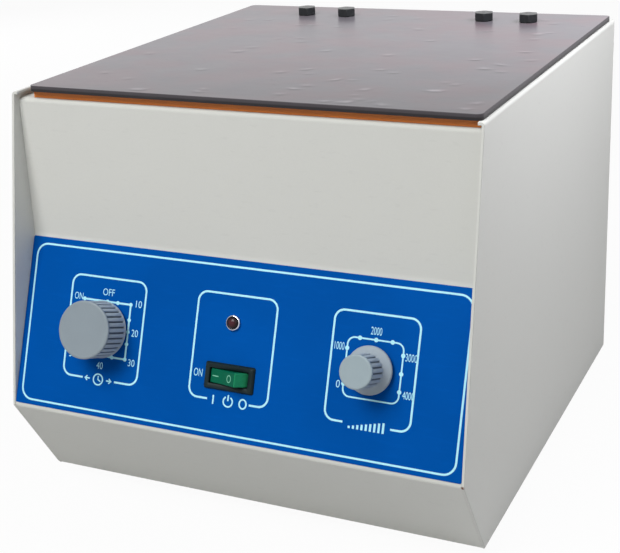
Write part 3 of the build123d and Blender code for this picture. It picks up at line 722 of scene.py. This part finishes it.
class CENTRIFUGE_OT_panel(Operator):
    """Printed film, border, frames, scales and symbols on the sloping panel"""

    bl_idname = "centrifuge.panel"
    bl_label = "Control panel"

    def execute(self, context):
        panel = context.scene.centrifuge.panel
        dress("control_overlay", self.film(panel))
        ink = grained("print_white", panel.ink, 0.5, (1.4,), (1.4,), (0.95, 0.07, 0.0), (0.44, 0.12, 0.0), 0.004)
        border = Print(panel).stroke(rounded(269.0, 92.2, panel.border_corner / MM, (0, -1.1), 8), True)
        border.finish("border_print", ink)
        corner, sign_height = panel.frame_corner / MM, -29.1
        timer = Print(panel).frame((-82.45, 0.3), 50.0, 58.8, corner, 21.5, -0.5)
        self.timer_scale(timer, -82.5, 0.4, 15.7)
        self.clock(timer, -83.2, sign_height)
        timer.finish("timer_print", ink)
        power = Print(panel).frame((1.1, 0.3), 48.9, 58.8, corner, 26.0, 0.5)
        power.words("ON", -18.7, -15.5, 4.3, 5.4)
        self.mains(power, 1.6, sign_height)
        power.finish("power_print", ink)
        speed = Print(panel).frame((83.7, 0.3), 48.5, 58.8, corner, 27.0)
        speed.line = 0.85
        speed.dot_radius = 1.2
        self.speed_scale(speed, 84.1, 0.2, 15.8)
        self.wedge(speed, 83.7, sign_height)
        speed.finish("speed_print", ink)
        return {"FINISHED"}

    def film(self, panel):
        """Matt-grained polyester film printed blue, with faint wipe marks."""
        film = Finish("panel_film", panel.film, 0.45, Specular_IOR_Level=0.02)
        grain = film.noise(0.35)
        cloud = film.noise(70.0).step(0.35, 0.7)
        wipes = film.noise(3.0, 3, (0.25, 1.6, 1.6)).step(0.52, 0.72)
        blue = film.blend(cloud, panel.film, tuple(c * 1.1 for c in panel.film))
        film.wear(film.tone(blue, 0.96 + 0.05 * grain + 0.04 * wipes), 0.4 + 0.08 * grain + 0.06 * wipes)
        return film.relief((grain, 0.003), (film.noise(25.0), 0.05), rounding=0.2)

    def scale(self, ink, x, y, dots, height, *words):
        """Dots at (x, y) offsets from a centre, and words as (text, x, y, width)."""
        for dx, dy in dots:
            ink.dot(x + dx, y + dy)
        for text, dx, dy, width in words:
            ink.words(text, x + dx, y + dy, height, width)

    def timer_scale(self, ink, x, y, half):
        """Square track that starts at ON and ends at 60, a dot at each mark and between marks."""
        ink.stroke([(x - half, y + half), (x + half, y + half), (x + half, y - half), (x - half, y - half),
                    (x - half, y)])
        step = half * 0.44
        dots = ((-half, half), (0, half), (step, half), (half, half), (half, step), (half, 0), (half, -step),
                (half, -half), (step, -half), (0, -half), (-step, -half), (-half, -half), (-half, -step), (-half, 0))
        self.scale(ink, x, y, dots, 4.0, ("ON", -19.8, 16.9, 5.8), ("OFF", 0.2, 21.1, 7.8), ("10", 21.0, 16.6, 3.9),
                   ("20", 20.3, -0.1, 4.3), ("30", 20.2, -17.1, 4.3), ("40", -0.6, -21.4, 4.2),
                   ("50", -20.0, -16.9, 4.2), ("60", -20.0, 0.1, 4.2))

    def speed_scale(self, ink, x, y, half):
        """Rounded square track with the speeds round it."""
        ink.stroke(rounded(2 * half, 2 * half, 4.0, (x, y), 8), True)
        dots = ((-half, -9.4), (-half, 0), (-half, 9.6), (-9.2, half), (0, half), (9.2, half), (half, 9.6), (half, 0),
                (half, -9.4))
        self.scale(ink, x, y, dots, 4.1, ("0", -18.8, -9.9, 2.2), ("1000", -20.3, 10.2, 5.6),
                   ("2000", -0.3, 20.4, 6.2), ("3000", 20.4, 9.0, 6.4), ("4000", 20.9, -10.6, 6.4))

    def clock(self, ink, x, y):
        """Clock face between two arrows."""
        ink.ring(x, y, 3.1, width=0.8)
        ink.stroke([(x, y + 2.1), (x, y), (x + 1.7, y - 1.0)], width=0.7)
        for side in (-1, 1):
            ink.stroke([(x + side * 5.6, y), (x + side * 8.6, y)], width=0.8)
            ink.stroke([(x + side * 7.3, y + 1.4), (x + side * 8.8, y), (x + side * 7.3, y - 1.4)], width=0.7)

    def mains(self, ink, x, y):
        """Open ring with a stroke at its top, between a stroke and a ring for on and off."""
        ink.ring(x, y, 2.8, 122, 418, 0.85)
        ink.stroke([(x, y + 0.4), (x, y + 3.7)], width=0.85)
        ink.stroke([(x - 9.2, y - 2.5), (x - 9.2, y + 2.5)], width=0.9)
        ink.ring(x + 9.2, y, 2.1, width=0.85, stretch=1.2)

    def wedge(self, ink, x, y):
        """Row of bars that grow to the right."""
        bars, pitch = 9, 2.4
        for k in range(bars):
            spot = x + (k - bars // 2) * pitch
            ink.stroke([(spot, y - 2.8), (spot, y - 2.8 + (1.2 + 0.55 * k))], width=1.2)


class CENTRIFUGE_OT_knobs(Operator):
    """Ribbed timer knob and skirted speed knob"""

    bl_idname = "centrifuge.knobs"
    bl_label = "Knobs"

    def execute(self, context):
        knobs = context.scene.centrifuge.knobs
        low, top = KNOB_LOW, 21.6
        radius = knobs.timer_radius / MM
        grip = radius - 0.2
        profile = [(0, low + 2), (12, low + 2), (12, low + 0.3), (12.3, low),
                   *beside(radius, low, (0.5, 0), (0, 0.4), (0, 1.0)),
                   *beside(grip, low, (0, 1.3), (0, 1.4, 0.1), (0, 1.8, 0.85)),
                   *beside(grip, top, (0, -2.6, 0.85), (0.2, -2.35, 0.3)),
                   *beside(radius, top, (0.9, -2.25), (0.9, -1.8), (0.15, -1.65), (0, -1.4), (0, -0.75), (0.15, -0.4),
                           (0.45, -0.14), (0.9, -0.02), (1.3, 0), (1.7, -0.06), (2.2, -0.12)),
                   (8, top - 0.1), (0, top - 0.08)]
        self.knob("timer_knob_ribbed", profile, -DIAL_PITCH, knobs.timer_ribs, knobs.plastic, knobs.timer_face,
                  TIMER_AT, "timer_dial", "timer_knob", grip, top - 2.3)
        top = 22.6
        radius, skirt = knobs.speed_radius / MM, knobs.skirt_radius / MM
        grip = radius - 0.05
        profile = [(0, low + 0.6),
                   *beside(skirt, low, (1.6, 0.6), (1.4, 0), (0.3, 0), (0, 0.3), (0, 1.1), (0.2, 1.5), (0.6, 1.75),
                           (1.6, 2.1)),
                   *beside(radius, low, (-1.2, 2.9), (-0.3, 3.6)),
                   *beside(grip, low, (0, 4.1, 0.2), (0, 4.6, 0.8)),
                   *beside(grip, top, (0, -2.7, 0.8), (0.2, -2.35, 0.3)),
                   *beside(radius, top, (0.6, -2.25), (0.6, -2.0), (0.12, -1.85), (0, -1.6), (0, -0.8), (0.15, -0.4),
                           (0.45, -0.13), (0.9, -0.01), (1.3, -0.05)),
                   (4, top - 0.08), (0, top - 0.06)]
        self.knob("speed_knob_skirted", profile, DIAL_PITCH, knobs.speed_ribs, knobs.plastic, knobs.speed_face,
                  SPEED_AT, "speed_dial", "speed_knob", grip, top - 2.4)
        dress("timer_shaft speed_shaft", metal_finish("shaft_steel", (0.6, 0.6, 0.6), 0.32, 0.6))
        return {"FINISHED"}

    def knob(self, name, profile, across, ribs, plastic, face, at, body, node, grip, cap):
        """Ribbed part, its grooves darkened as painted shade, under a smooth cap with a faint turned sheen."""
        grey = plastic_finish(f"{name}_plastic", plastic, 0.4, 0.4, Specular_IOR_Level=0.2)
        reach = grey.off_axis(at, PANEL_OUT)
        height = grey.over(PANEL.translation, PANEL_OUT)
        # Painted shade: the colour is darkened down in the grooves between the ribs.
        inside = 1 - reach.step(grip - 0.85, grip - 0.15)
        deep = inside * (1 - height.step(cap - 0.3, cap + 0.1)) * height.step(3.8, 4.4)
        shade = grey.blend(1 - height.step(cap, cap + 0.5), face, plastic)
        spark, cloud = grey.noise(0.4), grey.noise(12.0)
        grey.vary("Base Color", grey.tone(shade, (0.92 + 0.06 * spark + 0.1 * cloud) * (1 - 0.72 * deep)))
        grey.relief((spark, 0.004), (grey.rings(at, PANEL_OUT, 0.6), 0.002))
        bm = bmesh.new()
        turn(bm, profile, (across, 0), ribs, RIB)
        piece(name, bm, PANEL, (grey,), body, (node,), 40)


class CENTRIFUGE_OT_switch(Operator):
    """Rocker switch in its dark frame, with its marks"""

    bl_idname = "centrifuge.switch"
    bl_label = "Power switch"

    def execute(self, context):
        settings = context.scene.centrifuge
        self.bezel(settings.switch)
        self.button(settings.switch, settings.panel)
        return {"FINISHED"}

    def bezel(self, switch):
        """Frame with sloping sides, the body behind it and three blade terminals."""
        x, y = ROCKER_AT.xy
        dark = plastic_finish("switch_black", switch.bezel, 0.38, 0.6, 0.006, 0.0, Specular_IOR_Level=0.16)
        bm = bmesh.new()
        loft(bm, (x, y), [(30.6, 15.0, 1.2, 0.41), (30.6, 15.0, 1.2, 0.8), (30.3, 14.7, 1.1, 1.1),
                          (28.9, 13.3, 0.9, 2.25), (28.5, 12.9, 0.8, 2.4), (24.6, 9.4, 0.6, 2.4),
                          (24.1, 8.9, 0.5, 2.25), (23.6, 8.4, 0.4, 1.5), (23.6, 8.4, 0.4, -10.4)], lid_low=False)
        loft(bm, (x, y), [(25.6, 12.0, 0.5, -19.4), (25.6, 12.0, 0.5, 0.5)], lid_high=False)
        for blade in (-9.0, 0.0, 9.0):
            loft(bm, (x + blade, y), [(0.8, 6.3, 0.2, -27.3), (0.8, 6.3, 0.2, -19.4)])
        piece("switch_bezel", bm, PANEL, (dark,), "case", ("rocker_frame",), 35)

    def button(self, switch, panel):
        """Slightly hollow rocker, its left end pressed in, its raised right end lighter as a painted highlight, with a
        dash and a ring on it.
        """
        swing, reach, wide = math.radians(23.0), 10.2, 3.9
        crown = [(-reach, 5.3), (-7.0, 4.98), (-3.0, 4.68), (-0.8, 4.55), (0.8, 4.55), (3.0, 4.68), (7.0, 4.98),
                 (reach, 5.3)]
        outline = [(-reach, -5.0), *crown, (reach, -5.0), (0.0, -5.6)]
        bm = bmesh.new()
        rings = [[bm.verts.new((x, side, z)) for x, z in outline] for side in (-wide, wide)]
        join_rings(bm, rings)
        for ring in rings:
            bm.faces.new(ring)
        tilted = PANEL @ Matrix.Translation(ROCKER_AT) @ Matrix.Rotation(-swing, 4, "Y")
        green = plastic_finish("switch_green", switch.button, 0.3, 1.0, 0.002, 0.0, Specular_IOR_Level=0.06)
        along = (tilted.to_3x3() @ Vector((1, 0, 0))).normalized()
        # Painted highlight: the raised end of the rocker takes the lighter end colour.
        end = green.over(tilted @ Vector((reach, 0, 0)), along).step(-0.45, -0.1)
        shade = green.blend(end, switch.button, switch.rim)
        green.vary("Base Color", green.tone(shade, 0.8 + 0.4 * green.noise(6.0)))
        button = piece("switch_button", bm, tilted, (green,), "power_rocker", ("rocker_button",), 50)
        edges = button.modifiers.new("edges", "BEVEL")
        edges.width, edges.segments = 0.5 * MM, 4
        edges.limit_method, edges.angle_limit = "ANGLE", math.radians(40)
        edges.harden_normals = False
        marks = Print(panel, 0.0)
        marks.ring(5.0, 0.0, 1.7, width=0.5, stretch=1.1)
        marks.stroke([(-8.6, 0.0), (-4.0, 0.0)], width=0.55)
        for vertex in marks.bm.verts:
            vertex.co.z += interp(vertex.co.x, *zip(*crown)) + 0.02
        pale = grained("switch_mark", switch.mark, 0.4, (0.8,), (0.8,), (0.85, 0.25, 0.0), (0.4, 0.0, 0.0), 0.004)
        piece("switch_marks", marks.bm, tilted, (pale,), "power_rocker")


class CENTRIFUGE_OT_lamp(Operator):
    """Pilot lamp: polished bezel and red lens"""

    bl_idname = "centrifuge.lamp"
    bl_label = "Pilot lamp"

    def execute(self, context):
        lens = context.scene.centrifuge.switch.lens
        at = LAMP_AT.xy
        chrome = metal_finish("lamp_chrome", (0.56, 0.57, 0.61), 0.14, 0.7, depth=0.001, rounding=0.0)
        bm = bmesh.new()
        turn(bm, [(3.05, -13.3), (3.05, 0.41), (4.4, 0.41), (4.4, 1.25), (4.33, 1.6), (4.15, 1.95), (3.9, 2.15),
                  (3.7, 2.2), (3.52, 2.05), (3.45, 1.7), (3.42, 0.95), (2.72, 0.95), (2.72, -1.9)], at, 64)
        piece("lamp_ring", bm, PANEL, (chrome,), "case", ("lamp_bezel",), 50)
        red = plastic_finish("lamp_red", lens, 0.12, 1.5, 0.002, 0.0, Specular_IOR_Level=0.2)
        # Painted shading: the lens is lighter in its middle and darker towards its edge.
        edge = red.off_axis(PANEL @ Vector((*at, 0)), PANEL_OUT).step(0.6, 3.2)
        red.vary("Base Color", red.blend(edge, tuple(c * 2.2 for c in lens), (0.01, 0.004, 0.004)))
        bm = bmesh.new()
        turn(bm, [(0, -1.9), (2.68, -1.9), (2.68, 0.98), (3.38, 0.98), (3.38, 1.9), (3.2, 2.4), (2.85, 2.85),
                  (2.35, 3.22), (1.7, 3.52), (1.1, 3.68), (0.5, 3.76), (0, 3.77)], at, 48)
        piece("lamp_dome", bm, PANEL, (red,), "case", ("lamp_lens",), 60)
        dress("lamp_nut", metal_finish("nut_zinc", (0.58, 0.58, 0.57), 0.35, 1.0))
        return {"FINISHED"}


class CENTRIFUGE_OT_lid(Operator):
    """Lid plate with its creased film, seal, hinges and cap nuts"""

    bl_idname = "centrifuge.lid"
    bl_label = "Lid"

    def execute(self, context):
        lid = context.scene.centrifuge.lid
        self.plate(lid)
        dress("lid_seal", grained("seal_amber", lid.seal, 0.46, (0.8,), (16.0, 3), (0.86, 0.08, 0.2), (0.4, 0.12, 0.0),
                                  0.01, 0.3, Subsurface_Weight=0.1, Subsurface_Radius=(0.004, 0.0015, 0.0005)))
        dress("hinge_fixed_leaves hinge_moving_leaves hinge_pins",
              metal_finish("hinge_steel", (0.5, 0.5, 0.5), 0.38, 0.5, (0.15, 2, 2)))
        dress("hinge_bolts hinge_washers hinge_cap_nuts", self.oxide(lid))
        return {"FINISHED"}

    def oxide(self, lid):
        """Oiled black oxide on steel, browner where it is rubbed."""
        black = Finish("black_oxide", lid.nut, 0.34, Specular_IOR_Level=0.5)
        rub = black.noise(2.4, 3).step(0.5, 0.75)
        black.wear(black.blend(rub * 0.5, lid.nut, (0.035, 0.034, 0.036)), 0.28 + 0.2 * rub)
        return black.relief((black.noise(0.7), 0.006), rounding=0.35)

    def creases(self, lid, low, high):
        """Seeded creases as (x, y, cos, sin, length, width, height), most of them at the front right."""
        draw = random.Random(CREASE_SEED)
        wide, deep = high.x - low.x, high.y - low.y
        found = []
        for k in range(lid.creases):
            across = 0.05 + 0.92 * draw.random() ** 0.8
            back = 0.02 + 0.93 * draw.random() ** (2.4 if k % 4 else 1.0)
            angle = math.radians(draw.gauss(6, 22))
            size = draw.uniform(0.4, 1.0)
            found.append((low.x + wide * across, low.y + deep * back, math.cos(angle), math.sin(angle),
                          2.5 + 3.5 * size, 1.5 + 1.3 * draw.random(),
                          (lid.crease_height / MM) * size * draw.uniform(0.5, 1.0)))
        return found

    def grid_line(self, low, high, corner):
        """Places of grid lines from low to high, closer together within a corner's radius of the ends."""
        pitch, near = 1.25, 5
        count = round((high - low - 2 * corner) / pitch)
        inner = [low + corner + (high - low - 2 * corner) * k / count for k in range(count + 1)]
        edge = [corner * k / near for k in range(near)]
        return [low + e for e in edge] + inner + [high - e for e in reversed(edge)]

    def plate(self, lid):
        """Plate with rounded corners, its top a fine grid that carries the film and its creases."""
        low, high = (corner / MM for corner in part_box("lid_plate"))
        inset, corner = 0.45, 3.0
        creases = self.creases(lid, low, high)
        columns = self.grid_line(low.x + inset, high.x - inset, corner)
        rows = self.grid_line(low.y + inset, high.y - inset, corner)
        bm = bmesh.new()
        grid = [[bm.verts.new((*self.round_corner(x, y, columns, rows, corner), high.z)) for x in columns]
                for y in rows]
        for near, far in zip(grid, grid[1:]):
            for i in range(len(columns) - 1):
                bm.faces.new((near[i], near[i + 1], far[i + 1], far[i])).material_index = 1
        for line in grid:
            for vertex in line:
                vertex.co.z += self.film_height(vertex.co, creases, low, high)
        rim = grid[0] + [line[-1] for line in grid[1:]] + grid[-1][-2::-1] + [line[0] for line in grid[-2:0:-1]]
        rings = [rim]
        for out, z in ((0.3, high.z - 0.08), (0.42, high.z - 0.25), (0.45, high.z - 0.5), (0.45, low.z + 0.4),
                       (0.35, low.z + 0.12), (0.1, low.z)):
            rings.append([bm.verts.new((*self.push(rim, k, out), z)) for k in range(len(rim))])
        join_rings(bm, rings)
        bm.faces.new(rings[-1])
        black = Finish("lid_black", lid.plate, 0.5, Specular_IOR_Level=0.25)
        scratch = black.noise(3.0, 4, (0.2, 1, 3)).step(0.55, 0.8)
        # Painted light: the upper half of the plate's edge is painted lighter than its lower half.
        upper_edge_highlight = (black.axis(2) - low.z).step(1.3, 2.1)
        shade = black.blend(upper_edge_highlight, lid.plate, tuple(c * 3.2 for c in lid.plate))
        black.wear(black.blend(scratch * 0.35, shade, (0.085, 0.08, 0.085)), 0.45 + 0.2 * scratch)
        black.relief((black.noise(1.2), 0.006))
        piece("lid_sheet", bm, UPRIGHT, (black, self.film(lid, high.z)), "lid", ("lid_plate",), 40)

    def round_corner(self, x, y, columns, rows, corner):
        """Place of a grid point after the grid's corners are rounded; u and v run to 1 within a corner."""
        u, v = (min(0.0, (value - line[0]) / corner - 1) + max(0.0, (value - line[-1]) / corner + 1)
                for value, line in ((x, columns), (y, rows)))
        return x - corner * u * (1 - math.sqrt(1 - v * v / 2)), y - corner * v * (1 - math.sqrt(1 - u * u / 2))

    def push(self, rim, k, out):
        """Place of rim point k after a move outwards by a distance."""
        along = (rim[(k + 1) % len(rim)].co - rim[k - 1].co).to_2d().normalized()
        return rim[k].co.x + along.y * out, rim[k].co.y - along.x * out

    def film_height(self, spot, creases, low, high):
        """Rise of the film over the plate: slow waves and the creases, calm near the edges."""
        wavelength, reach, bend, sunk = 34, 12, 0.05, 0.06
        edge = min(spot.x - low.x, high.x - spot.x, spot.y - low.y, high.y - spot.y)
        calm = min(1.0, max(0.0, (edge - 1.0) / 5.0))
        rise = 0.05 * noise.noise(Vector((spot.x / wavelength, spot.y / wavelength, 3.7)))
        for x, y, cosine, sine, long, wide, tall in creases:
            dx, dy = spot.x - x, spot.y - y
            if abs(dx) < reach and abs(dy) < reach:
                along, across = dx * cosine + dy * sine, dy * cosine - dx * sine
                across -= bend * along * along
                rise += tall * math.exp(-(along / long * 1.6) ** 2 - (across / wide) ** 2)
        return rise * calm - sunk

    def film(self, lid, level):
        """Hazy protective film: milky with warm and cool drifts, paler at grazing angles as a painted sheen, and paler
        where creased, partly the lifted film and partly a painted highlight.
        """
        film = Finish("lid_film", lid.film, 0.3)
        fleck = film.noise(11.0, 2, (0.8, 1.2, 1))
        streak = film.noise(2.2, 4, (0.35, 1.0, 1.0)).step(0.6, 0.78)
        warm, cool = (tuple(c * k for c, k in zip(lid.film, tint))
                      for tint in ((1.08, 0.965, 0.985), (0.96, 1.02, 1.04)))
        haze_and_sheen = film.blend(film.noise(30.0, 3).step(0.36, 0.64), warm, cool)
        # Paler where the film is creased: partly the lifted film's own paleness, partly a painted highlight.
        raised = (film.axis(2) - (level - 0.02)).step(0.0, 0.14)
        # Painted sheen: the film is painted paler where it is seen at grazing angles.
        grazing = film.facing().step(0.75, 0.85)
        haze_and_sheen = film.tone(haze_and_sheen, 0.7 + 0.44 * fleck + 0.12 * streak + 1.65 * grazing)
        film.wear(film.blend(raised * 0.32, haze_and_sheen, (0.4, 0.38, 0.4)), 0.27 + 0.08 * fleck + 0.06 * streak)
        return film.relief((fleck, 0.05), (film.noise(1.6), 0.008))


class CENTRIFUGE_OT_chamber(Operator):
    """Bowl, rotor, sleeves, nut and drive"""

    bl_idname = "centrifuge.chamber"
    bl_label = "Chamber and drive"

    def execute(self, context):
        chamber = context.scene.centrifuge.chamber
        dress("chamber_bowl", turned_finish("bowl_steel", chamber.bowl, 0.8))
        dress("rotor rotor_nut", turned_finish("rotor_alloy", chamber.rotor, 0.5))
        dress("tube_sleeves", metal_finish("sleeve_alloy", chamber.sleeve, 0.33, 0.5, (1.6, 1.6, 0.12)))
        dress("motor_shaft", metal_finish("ground_steel", (0.55, 0.55, 0.55), 0.22, 0.4, (0.3, 0.3, 3)))
        dress("motor_body", enamel_finish("motor_enamel", chamber.motor))
        dress("motor_mount_plate", enamel_finish("plate_primer", (0.2, 0.21, 0.22), 0.5))
        dress("brush_caps", plastic_finish("cap_black", (0.022, 0.022, 0.024), 0.36))
        dress("shaft_boot shock_mounts", rubber_finish("mount_rubber"))
        return {"FINISHED"}


class CENTRIFUGE_OT_rear(Operator):
    """Mains inlet, fuse holder and its cap"""

    bl_idname = "centrifuge.rear"
    bl_label = "Rear fittings"

    def execute(self, context):
        dress("power_inlet fuse_holder", plastic_finish("fitting_black", (0.024, 0.024, 0.026), 0.4, 0.7, 0.012))
        dress("fuse_cap", plastic_finish("fuse_cap_black", (0.02, 0.02, 0.022), 0.28, 1.0, 0.004))
        dress("inlet_pins", metal_finish("pin_brass", (0.66, 0.53, 0.28), 0.26, 0.5))
        return {"FINISHED"}


class CENTRIFUGE_OT_inside(Operator):
    """Control board, timer, potentiometer and what stands on the base"""

    bl_idname = "centrifuge.inside"
    bl_label = "Electrics"

    def execute(self, context):
        dress("control_board", self.board())
        dress("heat_sink", metal_finish("sink_alloy", (0.5, 0.51, 0.52), 0.42, 0.5, (1, 0.1, 1)))
        dress("capacitor", self.sleeve())
        dress("timer_body", plastic_finish("timer_case", (0.03, 0.03, 0.032), 0.45, 0.8))
        dress("speed_potentiometer", metal_finish("pot_can", (0.54, 0.54, 0.52), 0.35, 0.8))
        return {"FINISHED"}

    def board(self):
        """Green solder mask with copper tracks and pads showing through."""
        green = (0.012, 0.105, 0.035)
        mask = Finish("board_green", green, 0.32, Coat_Weight=0.3, Coat_Roughness=0.15)
        tracks = abs(((mask.axis(1) + 26 * mask.noise(16.0, 0)) * (math.tau / 5.0)).wave()).step(0.55, 0.62)
        pads = 1 - mask.cells(6.0).step(0.13, 0.16)
        printed = mask.blend(tracks * 0.45, green, (0.06, 0.22, 0.07))
        mask.wear(mask.blend(pads, printed, (0.62, 0.6, 0.56)), 0.28 + 0.12 * mask.noise(3.0))
        mask.vary("Metallic", pads * 0.9)
        return mask.relief((tracks, 0.03), (pads, 0.05))

    def sleeve(self):
        """Dark blue shrink sleeve with a pale stripe down one side."""
        blue = (0.02, 0.034, 0.12)
        wrap = Finish("capacitor_sleeve", blue, 0.25, Coat_Weight=0.4, Coat_Roughness=0.1)
        side = (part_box("capacitor")[0].x + 0.001) / MM
        stripe = 1 - abs(wrap.axis(0) - side).step(1.2, 1.6)
        wrap.wear(wrap.blend(stripe, blue, (0.62, 0.66, 0.72)), 0.2 + 0.15 * wrap.noise(2.0))
        return wrap.relief((wrap.noise(1.5), 0.01), rounding=0.2)


class CENTRIFUGE_OT_fixings(Operator):
    """Screws, studs, stand-offs and rubber feet"""

    bl_idname = "centrifuge.fixings"
    bl_label = "Fixings and feet"

    def execute(self, context):
        dress("case_screws foot_screws foot_nuts bowl_screws hinge_deck_screws timer_screws inlet_screws mount_studs "
              "board_standoffs", metal_finish("bright_zinc", (0.6, 0.61, 0.61), 0.34, 1.2))
        dress("rubber_feet", rubber_finish("foot_rubber"))
        return {"FINISHED"}


STEPS = (CENTRIFUGE_OT_stage, CENTRIFUGE_OT_case, CENTRIFUGE_OT_panel, CENTRIFUGE_OT_knobs, CENTRIFUGE_OT_switch,
         CENTRIFUGE_OT_lamp, CENTRIFUGE_OT_lid, CENTRIFUGE_OT_chamber, CENTRIFUGE_OT_rear, CENTRIFUGE_OT_inside,
         CENTRIFUGE_OT_fixings)


class CENTRIFUGE_PT_sidebar(Panel):
    """Steps that dress the centrifuge, with their sizes and colours"""

    bl_idname = "CENTRIFUGE_PT_sidebar"
    bl_label = "Centrifuge"
    bl_space_type = "VIEW_3D"
    bl_region_type = "UI"
    bl_category = "Centrifuge"

    def draw(self, context):
        for step in STEPS:
            self.layout.operator(step.bl_idname)
        for group in CentrifugeSettings.__annotations__:
            part = getattr(context.scene.centrifuge, group)
            box = self.layout.box()
            box.label(text=group.capitalize())
            for name in part.__annotations__:
                box.prop(part, name)


CLASSES = (CaseSettings, PanelSettings, KnobSettings, SwitchSettings, LidSettings, ChamberSettings, StageSettings,
           CentrifugeSettings, *STEPS, CENTRIFUGE_PT_sidebar)


def register():
    for each in CLASSES:
        bpy.utils.register_class(each)
    bpy.types.Scene.centrifuge = PointerProperty(type=CentrifugeSettings)


def unregister():
    del bpy.types.Scene.centrifuge
    for each in reversed(CLASSES):
        bpy.utils.unregister_class(each)


def main():
    """Dress the centrifuge."""
    register()
    for step in STEPS:
        group, name = step.bl_idname.split(".")
        getattr(getattr(bpy.ops, group), name)()


if __name__ == "__main__":
    main()
